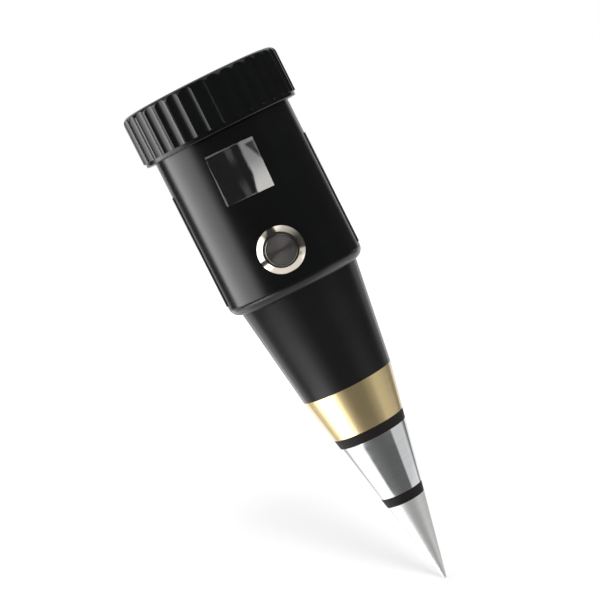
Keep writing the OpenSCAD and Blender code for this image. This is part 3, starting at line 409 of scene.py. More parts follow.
# %% Add the shadow lamp
SUN_STRENGTH = 2.8
SUN_WIDTH = math.radians(10)
SUN_FROM = Vector((0.212, -0.98, 0.25))

bpy.ops.object.light_add(type="SUN", location=SUN_FROM)
sun = bpy.context.object
sun.name = "shadow_sun"
sun.data.energy = SUN_STRENGTH
sun.data.angle = SUN_WIDTH
sun.rotation_euler = (-SUN_FROM).to_track_quat("-Z", "Y").to_euler()
sun.visible_camera = False
sun.visible_glossy = False
print("shadow sun from", list(SUN_FROM))

# %% [markdown]
# ## Finishes
# Every finish is a small node tree. Plastics get the faint unevenness of a moulded skin, and
# metals the fine lines that a lathe or a brush leaves, because a perfectly even surface looks
# like a drawing. Each material is named after its slot in the record.

# %% Write the recipes for plastics and metals
ACRYLIC_IOR = 1.49
SKIN_SIZE = 0.6
SKIN_DEPTH = 0.004
PLASTIC_BLOTCH = 9.0
METAL_BLOTCH = 7.0
FACING_BLOTCH = 2.0


def new_finish(name):
    """An empty material and its nodes."""
    material = bpy.data.materials.new(name + "_finish")
    material.use_nodes = True
    return material, Nodes(material.node_tree)


def close(material, n, inputs):
    """Give a finish its shader, with these values and links."""
    shader = n.add("BsdfPrincipled", {}, inputs)
    n.add("OutputMaterial", {}, {"Surface": shader})
    return material


def plastic(name, base, rough, shine=0.5):
    """A moulded plastic: a little uneven in colour and gloss, with a fine skin."""
    material, n = new_finish(name)
    patch = n.noise(PLASTIC_BLOTCH, detail=4)
    grain = n.noise(SKIN_SIZE, detail=3)
    return close(material, n, {
        "Base Color": n.blend(patch, tint(base, 0.8), tint(base, 1.2)),
        "Roughness": rough - 0.04 + patch * 0.08,
        "Specular IOR Level": shine,
        "Normal": n.bump(grain, SKIN_DEPTH),
    })


def metal(name, base, rough, stretch=(1, 1, 1), grain_size=0.4, depth=0.002, spread=0.14):
    """A plain or brushed metal. The grain is drawn out along the axis with the small stretch."""
    material, n = new_finish(name)
    patch = n.noise(METAL_BLOTCH, detail=4)
    grain = n.noise(grain_size, stretch, detail=4)
    return close(material, n, {
        "Base Color": n.blend(
            grain * 0.6 + patch * 0.4, tint(base, 1 - spread), tint(base, 1 + spread)),
        "Metallic": 1.0,
        "Roughness": rough - 0.06 + patch * 0.06 + grain * 0.06,
        "Normal": n.bump(grain, depth),
    })


def turned_metal(name, base, rough, pitch=0.25, depth=0.003):
    """A metal from the lathe: fine lines round the axis, a little different in gloss."""
    return metal(name, base, rough, stretch=(0.02, 0.02, 1), grain_size=pitch, depth=depth)


def faced_metal(name, base, rough, metallic, pitch, depth, centre):
    """A metal faced on a lathe: fine rings round the button's axis at this height."""
    material, n = new_finish(name)
    x, y, z = n.axes()
    z = z - centre
    radius = x.maths("SQRT", x * x + z * z)
    rings = n.lines(radius, pitch)
    patch = n.noise(FACING_BLOTCH, detail=4)
    return close(material, n, {
        "Base Color": n.blend(rings, tint(base, 0.85), tint(base, 1.12)),
        "Metallic": metallic,
        "Roughness": rough - 0.05 + patch * 0.1,
        "Normal": n.bump(rings, depth),
    })


def clear_plastic(name):
    """Clear moulded acrylic, with the faintest wear in its polish."""
    material, n = new_finish(name)
    wear = n.noise(3.0, detail=6)
    return close(material, n, {
        "Base Color": colour(0.97, 0.985, 0.985),
        "Roughness": wear * 0.03,
        "IOR": ACRYLIC_IOR,
        "Transmission Weight": 1.0,
    })


print("recipes: plastic, metal, turned metal, faced metal and clear plastic")

# %% [markdown]
# The foil is a mirror, and its colour also carries a painted reflection. A paler, rougher,
# less metallic band down its right side, which widens at the foot, is a painted reflection of
# the light there, its upper corner there is left as dark mirror, and a weak painted streak runs
# down the middle. A paler border is a painted highlight along the cut edge.

# %% Write the recipe for the foil
STICKER_SIZE = (14.8, 15.3)
STICKER_PLACE = (-0.6, 137.1)
# Where the painted reflection on the foil lies and how strong it is, and the painted edge
# highlight.
REFLECTION_EDGE = (2.7, 3.7)
REFLECTION_LEVEL = 0.8
REFLECTION_FADE = (-6, 3.5)
REFLECTION_FADE_LEVEL = 0.46
FOOT_FALL = (2, 7.5)
FOOT_WIDTH = 1.1
CORNER_PLACE = (4.6, 6.1)
CORNER_SLOPE = 0.5
CORNER_EDGE = (-0.4, 0.6)
CORNER_TOP = (6, 6.8)
CORNER_DARK = 0.85
STREAK_SIDES = (-1.8, -1.0, 0.1, 1.0)
STREAK_ENDS = (1, 6)
STREAK_LEVEL = 0.07
BORDER_EDGE = (-0.3, -0.18)
EDGE_HIGHLIGHT_LEVEL = 0.2


def foil(name, middle, size):
    """Mirror foil with paler, rougher bands painted in as its reflection, and a painted edge
    highlight.
    """
    material, n = new_finish(name)
    x, y, z = n.axes()
    across, upward = x - middle[0], z - middle[1]
    drift = n.noise(5.0, detail=1) * 0.8 - 0.4
    foot = n.step(0 - upward, *FOOT_FALL) * FOOT_WIDTH
    # A paler, less metallic band down the right side is a painted reflection.
    reflection_band = n.step(across + drift + foot, *REFLECTION_EDGE)
    reflection_band = reflection_band * (REFLECTION_LEVEL - n.step(upward, *REFLECTION_FADE) * REFLECTION_FADE_LEVEL)
    # The upper corner of that band is left out of it, as dark mirror.
    slope = (CORNER_PLACE[1] - upward) * CORNER_SLOPE
    corner = n.step(across - CORNER_PLACE[0] - slope + drift * 0.5, *CORNER_EDGE)
    corner = corner * CORNER_DARK * (1 - n.step(upward, *CORNER_TOP))
    streak = n.span(across + drift * 0.5, *STREAK_SIDES) * n.step(abs(upward), *STREAK_ENDS)
    # A paler border is a painted highlight along the cut edge.
    edge = x.maths("MAXIMUM", abs(across) - size[0] / 2, abs(upward) - size[1] / 2)
    edge_highlight = n.step(edge, *BORDER_EDGE) * EDGE_HIGHLIGHT_LEVEL
    painted_reflection = x.maths("MAXIMUM", reflection_band * (1 - corner), streak * STREAK_LEVEL)
    painted_reflection = x.maths("MAXIMUM", painted_reflection, edge_highlight)
    wave = n.noise(6.0, detail=1)
    grain = n.noise(0.25, detail=3)
    return close(material, n, {
        "Base Color": n.blend(painted_reflection, colour(0.80, 0.81, 0.83), colour(0.80, 0.78, 0.74)),
        "Metallic": 0.997 - painted_reflection * 0.4,
        "Roughness": 0.07 + painted_reflection * 0.4 + grain * 0.04,
        "Normal": n.bump(wave, 0.12),
    })


print("foil: a square of", STICKER_SIZE, "mm at", STICKER_PLACE)

# %% [markdown]
# Now every slot of the record gets its finish. The cone and the tip share a slot with other
# pieces but differ a little from them, so they have finishes of their own.

# %% Mix the finishes
BUTTON_HEIGHT = 111.9

FINISHES = {
    "black_plastic": plastic("black_plastic", colour(0.0032, 0.0034, 0.0037), 0.22),
    "dark_plastic": plastic("dark_plastic", colour(0.035, 0.035, 0.038), 0.5),
    "case_plastic": plastic("case_plastic", colour(0.72, 0.72, 0.70), 0.45),
    "ring_plastic": plastic("ring_plastic", colour(0.006, 0.0052, 0.0048), 0.5, shine=0.2),
    "clear_plastic": clear_plastic("clear_plastic"),
    "dial_aluminium": metal(
        "dial_aluminium", colour(0.48, 0.475, 0.465), 0.36, (1, 0.03, 1), 0.25, spread=0.45),
    "electrode_aluminium": turned_metal(
        "electrode_aluminium", colour(0.80, 0.81, 0.82), 0.045, depth=0.0003),
    "former_aluminium": metal("former_aluminium", colour(0.7, 0.71, 0.73), 0.35),
    "electrode_brass": turned_metal(
        "electrode_brass", colour(0.80, 0.635, 0.345), 0.22, depth=0.001),
    "brass_fittings": metal("brass_fittings", colour(0.8, 0.62, 0.3), 0.3),
    "spring_bronze": metal("spring_bronze", colour(0.72, 0.48, 0.26), 0.3),
    "copper": metal("copper", colour(0.72, 0.34, 0.18), 0.3, (0.05, 0.05, 1), 0.15),
    "chrome": faced_metal(
        "chrome", colour(0.90, 0.81, 0.71), 0.12, 0.99, 0.12, 0.001, BUTTON_HEIGHT),
    "brushed_steel": faced_metal(
        "brushed_steel", colour(0.24, 0.225, 0.215), 0.3, 0.96, 0.1, 0.01, BUTTON_HEIGHT),
    "steel": metal("steel", colour(0.55, 0.56, 0.58), 0.3),
    "soft_iron": metal("soft_iron", colour(0.56, 0.56, 0.57), 0.4),
    "magnet": metal("magnet", colour(0.36, 0.36, 0.37), 0.45),
    "needle_red": plastic("needle_red", colour(0.86, 0.09, 0.045), 0.4),
    "foil": foil("foil", STICKER_PLACE, STICKER_SIZE),
    "label_film": plastic("label_film", colour(0.012, 0.012, 0.013), 0.35),
    "rubber": plastic("rubber", colour(0.02, 0.02, 0.02), 0.7),
    "nylon": plastic("nylon", colour(0.8, 0.79, 0.74), 0.45),
    "board_fibre": plastic("board_fibre", colour(0.42, 0.3, 0.14), 0.55),
    "resistor_coat": plastic("resistor_coat", colour(0.66, 0.54, 0.34), 0.35),
    "trimmer_blue": plastic("trimmer_blue", colour(0.05, 0.14, 0.42), 0.4),
    "lead_red": plastic("lead_red", colour(0.55, 0.03, 0.03), 0.4),
    "lead_yellow": plastic("lead_yellow", colour(0.72, 0.55, 0.04), 0.4),
    "lead_green": plastic("lead_green", colour(0.04, 0.28, 0.08), 0.4),
    "lead_blue": plastic("lead_blue", colour(0.04, 0.1, 0.45), 0.4),
}

OWN_FINISHES = {
    "probe_cone": plastic("cone_plastic", colour(0.0045, 0.0046, 0.0048), 0.2),
    "tip_electrode": turned_metal("tip_aluminium", colour(0.82, 0.82, 0.81), 0.42, 0.4),
}

for name, part in nodes.items():
    part.data.materials.clear()
    part.data.materials.append(OWN_FINISHES.get(name, FINISHES[slot_of[name]]))
print("finishes:", len(FINISHES), "for", len(nodes), "nodes")

# %% [markdown]
# ## Turned pieces
# The cap, the window, the switch and its button are round, so each starts as a chain of edges
# along its outline, drawn by extruding one vertex. Corners are rounded with a vertex bevel while
# the outline is still flat, which is easier than picking edges on a finished solid, and Spin
# turns the outline into the piece.

# %% Draw outlines and spin them
SPIN_STEPS = 144
MERGE_REACH = 1e-6


def upright(radius, height):
    """A point of an outline that is spun round the meter's own axis."""
    return Vector((radius, 0, height)) * MM


def outline(name, points, place=upright):
    """A chain of edges through (radius, height) points in millimetres, left in edit mode."""
    corners = [place(*point) for point in points]
    bpy.ops.object.select_all(action="DESELECT")
    bpy.ops.mesh.primitive_plane_add(size=MM, location=corners[0])
    piece = bpy.context.object
    piece.name = piece.data.name = name
    bpy.ops.object.transform_apply(location=True, rotation=False, scale=False)
    bpy.ops.object.mode_set(mode="EDIT")
    bpy.ops.mesh.select_mode(type="VERT")
    bpy.ops.mesh.select_all(action="SELECT")
    bpy.ops.mesh.merge(type="CENTER")
    for first, second in zip(corners, corners[1:]):
        step = {"value": second - first}
        bpy.ops.mesh.extrude_region_move(TRANSFORM_OT_translate=step)
    bpy.ops.mesh.select_all(action="SELECT")
    bpy.ops.mesh.remove_doubles(threshold=MERGE_REACH)
    return piece


def pick(piece, test, kind="verts"):
    """Select, in edit mode, the verts or faces whose middle passes the test."""
    bpy.ops.mesh.select_all(action="DESELECT")
    bpy.ops.mesh.select_mode(type="VERT" if kind == "verts" else "FACE")
    mesh = bmesh.from_edit_mesh(piece.data)
    for item in getattr(mesh, kind):
        middle = item.co if kind == "verts" else item.calc_center_median()
        item.select_set(test(middle / MM, item))
    mesh.select_flush_mode()
    bmesh.update_edit_mesh(piece.data)


def round_corners(piece, radii, place=upright, segments=5):
    """Round corners of an outline, given as {(radius, height): rounding}."""
    for corner, rounding in radii.items():
        spot = place(*corner) / MM
        pick(piece, lambda middle, item: (middle - spot).length < 0.01)
        bpy.ops.mesh.bevel(affect="VERTICES", offset=rounding * MM, segments=segments)


def spin(steps=SPIN_STEPS, degrees=360, center=(0, 0, 0), axis=(0, 0, 1)):
    """Turn the outline that is open in edit mode into a piece, and leave edit mode."""
    bpy.ops.mesh.select_all(action="SELECT")
    bpy.ops.mesh.spin(steps=steps, angle=math.radians(degrees), center=center, axis=axis)
    bpy.ops.mesh.select_all(action="SELECT")
    bpy.ops.mesh.remove_doubles(threshold=MERGE_REACH)
    bpy.ops.mesh.normals_make_consistent(inside=False)
    bpy.ops.object.mode_set(mode="OBJECT")


def modify(piece, kind, **settings):
    """Add a modifier with these settings and apply it."""
    bpy.ops.object.select_all(action="DESELECT")
    piece.select_set(True)
    bpy.context.view_layer.objects.active = piece
    bpy.ops.object.modifier_add(type=kind)
    modifier = piece.modifiers[-1]
    for name, value in settings.items():
        setattr(modifier, name, value)
    bpy.ops.object.modifier_apply(modifier=modifier.name)


def combine(piece, tool, operation):
    """Join a tool to a piece, or cut it out, and delete the tool."""
    modify(piece, "BOOLEAN", object=tool, operation=operation, solver="EXACT")
    bpy.data.objects.remove(tool)


def dress(piece, slot, body, *replaced, finish=None, angle=32):
    """Shade a piece, give it its finish and its body, and hide the nodes that it stands for."""
    bpy.ops.object.select_all(action="DESELECT")
    piece.select_set(True)
    bpy.context.view_layer.objects.active = piece
    bpy.ops.object.shade_smooth_by_angle(angle=math.radians(angle))
    piece.data.materials.clear()
    piece.data.materials.append(finish or FINISHES[slot])
    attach(piece, body)
    if replaced:
        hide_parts(*replaced)
    print(piece.name, "has", len(piece.data.polygons), "faces")


print("outlines are spun in", SPIN_STEPS, "steps")

# %% [markdown]
# ## The fluted cap
# The cap is a moulded ring with 36 shallow finger flutes round it, a rounded brow and a rounded
# lip inside that meets the window. The plain ring is spun first. One round cutter is then
# copied round by Spin, and a Boolean cuts all the flutes at once, as a mould maker's cutter
# would. A bevel softens the crests, which is what makes them glint, and weighted normals keep the
# reflections in the long flutes straight beside it.

# %% Spin the cap and cut its flutes
CAP_OUTLINE = [
    (22, 149.9), (24.4, 149.9), (24.4, 151.2), (25, 151.2), (25, 165.8), (18.6, 165.8),
    (18.6, 162.8), (22, 162.8), (22, 154.48), (21.55, 153.9), (22, 153.32), (22, 149.9),
]
CAP_ROUNDS = {(25, 165.8): 2.0, (18.6, 165.8): 1.3, (24.4, 149.9): 0.3, (25, 151.2): 0.15}
CREST_BEVEL = 0.16
FLUTES = 36
FLUTE_RADIUS = 4.0
FLUTE_PLACE = 28.45
FLUTE_LENGTH = 20
FLUTE_MIDDLE = 160.5

cap = outline("fluted_cap", CAP_OUTLINE)
round_corners(cap, CAP_ROUNDS)
spin(steps=FLUTES * 8)

bpy.ops.object.select_all(action="DESELECT")
bpy.ops.mesh.primitive_cylinder_add(
    vertices=96, radius=FLUTE_RADIUS * MM, depth=FLUTE_LENGTH * MM,
    location=Vector((FLUTE_PLACE, 0, FLUTE_MIDDLE)) * MM,
)
cutter = bpy.context.object
bpy.ops.object.transform_apply(location=True, rotation=False, scale=False)
bpy.ops.object.mode_set(mode="EDIT")
bpy.ops.mesh.select_all(action="SELECT")
bpy.ops.mesh.spin(
    steps=FLUTES - 1, dupli=True, angle=math.tau * (FLUTES - 1) / FLUTES,
    center=(0, 0, 0), axis=(0, 0, 1),
)
bpy.ops.object.mode_set(mode="OBJECT")
combine(cap, cutter, "DIFFERENCE")
modify(cap, "BEVEL", width=CREST_BEVEL * MM, segments=2, limit_method="ANGLE", angle_limit=0.45)
dress(cap, "black_plastic", "housing", "bezel_cap", angle=40)
modify(cap, "WEIGHTED_NORMAL", keep_sharp=True)

# %% [markdown]
# ## The switch
# A bright turned ring clamps the push-button switch to the front of the body. Its outline is
# spun round the button's axis, which points at the camera. The button is a separate piece,
# because it slides into the ring. Its face has the fine grooves of a turned part, which spread
# what it mirrors along each radius into a faint bow tie.

# %% Spin the ring and the button


def outward(radius, reach):
    """A point of an outline that is spun round the button's axis, reach mm from the meter's."""
    return Vector((radius, -reach, BUTTON_HEIGHT)) * MM


BUTTON_AXIS = {"center": outward(0, 0), "axis": (0, 1, 0)}

ring = outline("switch_ring", [
    (4.7, 22.69), (5.2, 22.69), (7.0, 21.59), (7.0, 20.69), (6.0, 20.69), (6.0, 9.69),
    (5.3, 9.69), (5.3, 19.69), (4.7, 19.69), (4.7, 22.69),
], outward)
round_corners(ring, {(4.7, 22.69): 0.12, (5.2, 22.69): 0.2, (7.0, 21.59): 0.06}, outward)
spin(**BUTTON_AXIS)
dress(ring, "chrome", "housing", "switch_barrel")

BUTTON_FACE = 23.89
GROOVE_PITCH = 0.15
GROOVE_DEPTH = 0.05
GROOVE_TURNS = range(27)
grooves = [
    (0.3 + GROOVE_PITCH * turn, BUTTON_FACE - GROOVE_DEPTH * (turn % 2)) for turn in GROOVE_TURNS
]
button = outline("push_button", [
    (0, BUTTON_FACE), *grooves, (4.6, BUTTON_FACE), (4.6, 19.59), (5.0, 19.59), (5.0, 17.69),
    (0, 17.69),
], outward)
round_corners(button, {(4.6, BUTTON_FACE): 0.3}, outward, segments=3)
spin(**BUTTON_AXIS)
dress(button, "brushed_steel", "button", "button_cap", angle=20)

# %% [markdown]
# Behind the button a coil spring pushes it back out. A ring of points is the section of its wire,
# and the Screw modifier winds it up. The spring stays with the housing.

# %% Wind the return spring
WIRE = 0.4
COIL_RADIUS = 3.2
COIL_TURNS = 5
COIL_ENDS = (17.44, 13.14)
SPRING_SEATS = (17.69, 12.89)
WIRE_SIDES = 10
STEPS_PER_TURN = 32


def beside_axis(radius, reach):
    """A point of a section that is wound round an axis through the origin."""
    return Vector((radius, -reach, 0)) * MM


turns = [math.tau * side / WIRE_SIDES for side in range(WIRE_SIDES + 1)]
section = [
    (COIL_RADIUS + math.cos(turn) * WIRE / 2, COIL_ENDS[0] + math.sin(turn) * WIRE / 2)
    for turn in turns
]
spring = outline("return_spring", section, beside_axis)
bpy.ops.object.mode_set(mode="OBJECT")
modify(
    spring, "SCREW", axis="Y", angle=math.tau * COIL_TURNS, steps=STEPS_PER_TURN * COIL_TURNS,
    render_steps=STEPS_PER_TURN * COIL_TURNS, screw_offset=(COIL_ENDS[0] - COIL_ENDS[1]) * MM,
)
spring.location.z = BUTTON_HEIGHT * MM
bpy.ops.object.transform_apply(location=True, rotation=False, scale=False)
bpy.ops.object.mode_set(mode="EDIT")
bpy.ops.mesh.select_all(action="SELECT")
bpy.ops.mesh.fill_holes(sides=0)
bpy.ops.mesh.select_all(action="SELECT")
bpy.ops.mesh.normals_make_consistent(inside=False)
bpy.ops.object.mode_set(mode="OBJECT")
dress(spring, "steel", "housing", "button_spring", angle=50)
outward(0, SPRING_SEATS[1])
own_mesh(spring)

# %% [markdown]
# ## The foil sticker
# A thin square of silver foil is wrapped on the front of the body, a little crooked. It starts
# as a flat grid that a Shrinkwrap lays on a round former, and Solidify makes it a sheet. A
# narrow border is inset along its edge, where the finish is paler, a painted edge highlight.

# %% Lay the sticker on the body
STICKER_TURN = math.radians(2)
STICKER_THICKNESS = 0.12
BORDER_WIDTH = 0.22
BODY_RADIUS = 21.75
GLUE_THICKNESS = 0.03

back_face = BODY_RADIUS + GLUE_THICKNESS
former = outline("former", [(back_face, 120), (back_face, 155)])
spin(steps=720)
bpy.ops.object.select_all(action="DESELECT")
bpy.ops.mesh.primitive_grid_add(x_subdivisions=40, y_subdivisions=6, size=MM)
sticker = bpy.context.object
sticker.name = sticker.data.name = "foil_square"
sticker.scale = (*STICKER_SIZE, 1)
sticker.rotation_euler = (math.pi / 2, STICKER_TURN, 0)
sticker.location = (STICKER_PLACE[0] * MM, -30 * MM, STICKER_PLACE[1] * MM)
bpy.ops.object.transform_apply(location=True, rotation=True, scale=True)
bpy.ops.object.mode_set(mode="EDIT")
bpy.ops.mesh.select_all(action="SELECT")
bpy.ops.mesh.inset(thickness=BORDER_WIDTH * MM, use_boundary=True)
bpy.ops.object.mode_set(mode="OBJECT")
modify(
    sticker, "SHRINKWRAP", target=former, wrap_method="PROJECT", use_project_y=True,
    use_negative_direction=True, use_positive_direction=True,
)
modify(sticker, "SOLIDIFY", thickness=STICKER_THICKNESS * MM, offset=1)
bpy.data.objects.remove(former)
dress(sticker, "foil", "housing", "front_sticker")

# %% [markdown]
# ## The window
# The window is one clear moulding: a flat disc with a rounded rim that stands in the cap, a
# flange under it and a skirt round the meter. Its outline is spun as the cap's was.

# %% Spin the window
GLASS_TOP = 164.2
GLASS_UNDER = 162.4

window = outline("dial_window", [
    (0, GLASS_TOP), (18.35, GLASS_TOP), (18.35, 162.8), (19.6, 162.8), (19.6, 157.8),
    (18.4, 157.8), (18.4, 161.6), (17.55, 161.6), (17.55, GLASS_UNDER), (0, GLASS_UNDER),
])
round_corners(window, {(18.35, GLASS_TOP): 0.7})
spin()
print("plain window:", len(window.data.polygons), "faces")

# %% [markdown]
# The window's lower half is patterned with small pyramids underneath, which hide the works and
# leave only the scale clear. The pattern starts as a grid that is extruded to a pad, and Poke
# draws every face on its underside down to a pyramid.

# %% Press the pattern
PATTERN_PITCH = (0.85, 0.9)
PATTERN_RADIUS = 17.4
PAD_DEPTH = 0.1
PYRAMID_DEPTH = 0.3

columns, rows = (round(2 * PATTERN_RADIUS / pitch) for pitch in PATTERN_PITCH)
bpy.ops.object.select_all(action="DESELECT")
bpy.ops.mesh.primitive_grid_add(
    x_subdivisions=columns, y_subdivisions=rows, size=MM,
    location=(0, 0, (GLASS_UNDER - PAD_DEPTH) * MM),
)
pattern = bpy.context.object
pattern.scale = (columns * PATTERN_PITCH[0], rows * PATTERN_PITCH[1], 1)
bpy.ops.object.transform_apply(location=True, rotation=False, scale=True)
bpy.ops.object.mode_set(mode="EDIT")
bpy.ops.mesh.select_all(action="SELECT")
bpy.ops.mesh.extrude_region_move(TRANSFORM_OT_translate={"value": (0, 0, 3 * PAD_DEPTH * MM)})
bpy.ops.mesh.select_all(action="SELECT")
bpy.ops.mesh.normals_make_consistent(inside=False)
pick(pattern, lambda middle, face: face.normal.z < -0.5, "faces")
bpy.ops.mesh.poke(offset=PYRAMID_DEPTH * MM)
bpy.ops.object.mode_set(mode="OBJECT")
print("pattern:", columns, "by", rows, "pyramids")

# %% [markdown]
# The pattern ends at a straight line below the scale, with a round arch over the needle's pivot.
# Two discs are cut straight with Bisect and joined to that outline, and a Boolean keeps the part
# of the pattern that lies within it. Two small posts stand at the ends of the straight edge.

# %% Trim the pattern and join it to the window
PIVOT = Vector((0, -11.5))
PATTERN_FRONT = -5.1
PATTERN_ARCH = 9.8
POST_PLACE = (15.7, -4.95)
POST_SIZE = (1.3, 1.5, 1.6)


def cut_disc(radius, depth, x, y, cut, vertices, **cleared):
    """A disc at the window's underside, cut straight across, with one side cleared away."""
    bpy.ops.object.select_all(action="DESELECT")
    bpy.ops.mesh.primitive_cylinder_add(
        vertices=vertices, radius=radius * MM, depth=depth * MM,
        location=(x * MM, y * MM, GLASS_UNDER * MM),
    )
    disc = bpy.context.object
    bpy.ops.object.transform_apply(location=True, rotation=False, scale=False)
    bpy.ops.object.mode_set(mode="EDIT")
    bpy.ops.mesh.select_all(action="SELECT")
    bpy.ops.mesh.bisect(
        plane_co=(0, cut * MM, 0), plane_no=(0, 1, 0), use_fill=True, **cleared,
    )
    bpy.ops.object.mode_set(mode="OBJECT")
    return disc


area = cut_disc(PATTERN_RADIUS, 2, 0, 0, PATTERN_FRONT, 128, clear_outer=True)
arch = cut_disc(PATTERN_ARCH, 1.9, PIVOT.x, PIVOT.y, PATTERN_FRONT - 1, 96, clear_inner=True)
combine(area, arch, "UNION")
combine(pattern, area, "INTERSECT")
combine(window, pattern, "UNION")
for side in (-1, 1):
    bpy.ops.object.select_all(action="DESELECT")
    bpy.ops.mesh.primitive_cube_add(
        size=MM, location=Vector((side * POST_PLACE[0], POST_PLACE[1], GLASS_UNDER)) * MM,
        scale=POST_SIZE,
    )
    bpy.ops.object.transform_apply(location=True, rotation=True, scale=True)
    combine(window, bpy.context.object, "UNION")
dress(window, "clear_plastic", "housing", "lens", angle=25)

# %% [markdown]
# Only the smooth part of the window is clear as glass. The pyramids' sides scatter light and look
# frosted, and their tips are painted darker, a painted shade for the dark dots that the pyramids
# show, so the patterned faces get a second material. Its dots follow the grid's pitch.

# %% Frost the pattern
TIP_SHADE_EDGE = (0.12, 0.34)
TIP_SHADE_COLOUR = colour(0.38, 0.38, 0.38)
POST_FROST = 0.6


def prism_plastic(name):
    """The patterned part of the window: frosted facets, with painted shade at the pyramids' tips.
    """
    material, n = new_finish(name)
    frost = n.noise(0.3, detail=4)
    x, y, z = n.axes()
    aside, ahead = (a.maths("PINGPONG", a, p / 2) for a, p in zip((x, y), PATTERN_PITCH))
    # The darker colour at each pyramid's tip is painted shade.
    facet = n.step(x.maths("SQRT", aside * aside + ahead * ahead), *TIP_SHADE_EDGE)
    post = n.step(abs(x), PATTERN_ARCH, PATTERN_ARCH + 1)
    post = post * n.step(y, PATTERN_FRONT - 0.02, PATTERN_FRONT)
    facet = x.maths("MAXIMUM", facet, post * POST_FROST)
    return close(material, n, {
        "Base Color": n.blend(facet * (0.85 + frost * 0.3), TIP_SHADE_COLOUR, colour(1, 1, 1)),
        "Roughness": 0.04 + frost * 0.08,
        "IOR": ACRYLIC_IOR,
        "Transmission Weight": 0.5,
    })


window.data.materials.append(prism_plastic("prism_plastic"))
for face in window.data.polygons:
    middle = face.center / MM
    if middle.z < GLASS_UNDER - PAD_DEPTH / 2 and middle.xy.length < PATTERN_RADIUS:
        face.material_index = 1
frosted = [face for face in window.data.polygons if face.material_index == 1]
print("frosted:", len(frosted), "faces of the window")

# %% [markdown]
# ## The dial's print
# The dial is a brushed plate with two scales printed round the needle's pivot: a ladder in black
# with numbers from 3 to 8, over a band in red and light green, and inside them a dark green band
# with ticks and numbers from 8 to 1. Each colour is one printing, so each is one mesh of thin
# raised ink.

# %% Mix the inks
DIAL_TOP = 158.9
INK = 0.03
BAND_STEP = 1.5
DIGIT_SHARE = 0.7


def ink(name, base):
    """Screen-printed ink: nearly even, with a slightly open, grainy cover."""
    material, n = new_finish(name)
    cover = n.noise(0.12, detail=3)
    patch = n.noise(2.5, detail=3)
    return close(material, n, {
        "Base Color": n.blend(cover * 0.6 + patch * 0.4, tint(base, 0.82), tint(base, 1.15)),
        "Roughness": 0.42 + patch * 0.12,
        "Normal": n.bump(cover, 0.003),
    })


INKS = {
    "black": ink("black_ink", colour(0.012, 0.012, 0.013)),
    "red": ink("red_ink", colour(0.50, 0.005, 0.014)),
    "green": ink("green_ink", colour(0.006, 0.15, 0.05)),
    "lime": ink("lime_ink", colour(0.17, 0.50, 0.03)),
}


print("inks:", ", ".join(INKS))

# %% [markdown]
# Bands are an edge spun round the pivot and extruded, ticks are small bars, and the numbers are
# text made into mesh. All are placed by their radius and their turn from the upright.

# %% Draw bands, bars and numbers


def on_dial(radius, degrees):
    """A point of the dial by its distance from the pivot and its turn to the right of upright."""
    turn = math.radians(degrees)
    flat = PIVOT + Vector((math.sin(turn), math.cos(turn))) * radius
    return Vector((flat.x, flat.y, DIAL_TOP)) * MM


def band(name, inner, outer, start, end):
    """A printed arc between two radii, from one turn to another."""
    piece = outline(name, [(inner, start), (outer, start)], on_dial)
    steps = max(2, round((end - start) / BAND_STEP))
    spin(steps, end - start, (PIVOT * MM).to_3d())
    thicken(piece)
    return piece


def thicken(piece):
    """Raise a flat print to the thickness of its ink."""
    bpy.ops.object.mode_set(mode="EDIT")
    bpy.ops.mesh.select_all(action="SELECT")
    bpy.ops.mesh.extrude_region_move(TRANSFORM_OT_translate={"value": (0, 0, INK * MM)})
    bpy.ops.mesh.select_all(action="SELECT")
    bpy.ops.mesh.normals_make_consistent(inside=False)
    bpy.ops.object.mode_set(mode="OBJECT")


def bar(place, width, length, degrees=0.0):
    """A straight printed bar whose middle and turn are given."""
    bpy.ops.object.select_all(action="DESELECT")
    middle = place + Vector((0, 0, INK / 2 * MM))
    bpy.ops.mesh.primitive_cube_add(
        size=MM, location=middle, rotation=(0, 0, -math.radians(degrees)),
        scale=(width, length, INK),
    )
    bpy.ops.object.transform_apply(location=True, rotation=True, scale=True)
    return bpy.context.object


def tick(inner, outer, degrees, width):
    """A bar along a radius, between two distances from the pivot."""
    return bar(on_dial((inner + outer) / 2, degrees), width, outer - inner, degrees)


def number(digit, radius, degrees, height):
    """A plain number that stands on its radius."""
    bpy.ops.object.select_all(action="DESELECT")
    place = on_dial(radius, degrees) + Vector((0, 0, INK / 2 * MM))
    bpy.ops.object.text_add(location=place, rotation=(0, 0, -math.radians(degrees)))
    piece = bpy.context.object
    piece.data.body = str(digit)
    piece.data.align_x = "CENTER"
    piece.data.align_y = "CENTER"
    piece.data.size = height / DIGIT_SHARE * MM
    piece.data.extrude = INK / 2 * MM
    piece.data.offset = height * 0.02 * MM
    piece.data.resolution_u = 6
    bpy.ops.object.convert(target="MESH")
    bpy.ops.object.transform_apply(location=True, rotation=True, scale=True)
    return bpy.context.object


def printing(name, shade, marks):
    """Join marks of one colour into one printing on the dial."""
    bpy.ops.object.select_all(action="DESELECT")
    for mark in marks:
        mark.select_set(True)
    bpy.context.view_layer.objects.active = marks[0]
    bpy.ops.object.join()
    piece = bpy.context.object
    piece.name = piece.data.name = name
    bpy.ops.object.mode_set(mode="EDIT")
    bpy.ops.mesh.select_mode(type="VERT")
    bpy.ops.mesh.select_all(action="SELECT")
    bpy.ops.mesh.remove_doubles(threshold=MERGE_REACH)
    bpy.ops.mesh.normals_make_consistent(inside=False)
    bpy.ops.object.mode_set(mode="OBJECT")
    dress(piece, "dial_aluminium", "housing", finish=INKS[shade], angle=20)


print("ink is", INK, "mm thick, on the dial's top at", DIAL_TOP)

# %% [markdown]
# The steps of the ladder widen and narrow along the scale, so each number has a turn of its own,
# with four thin rungs between it and the next. The inner scale has even steps.

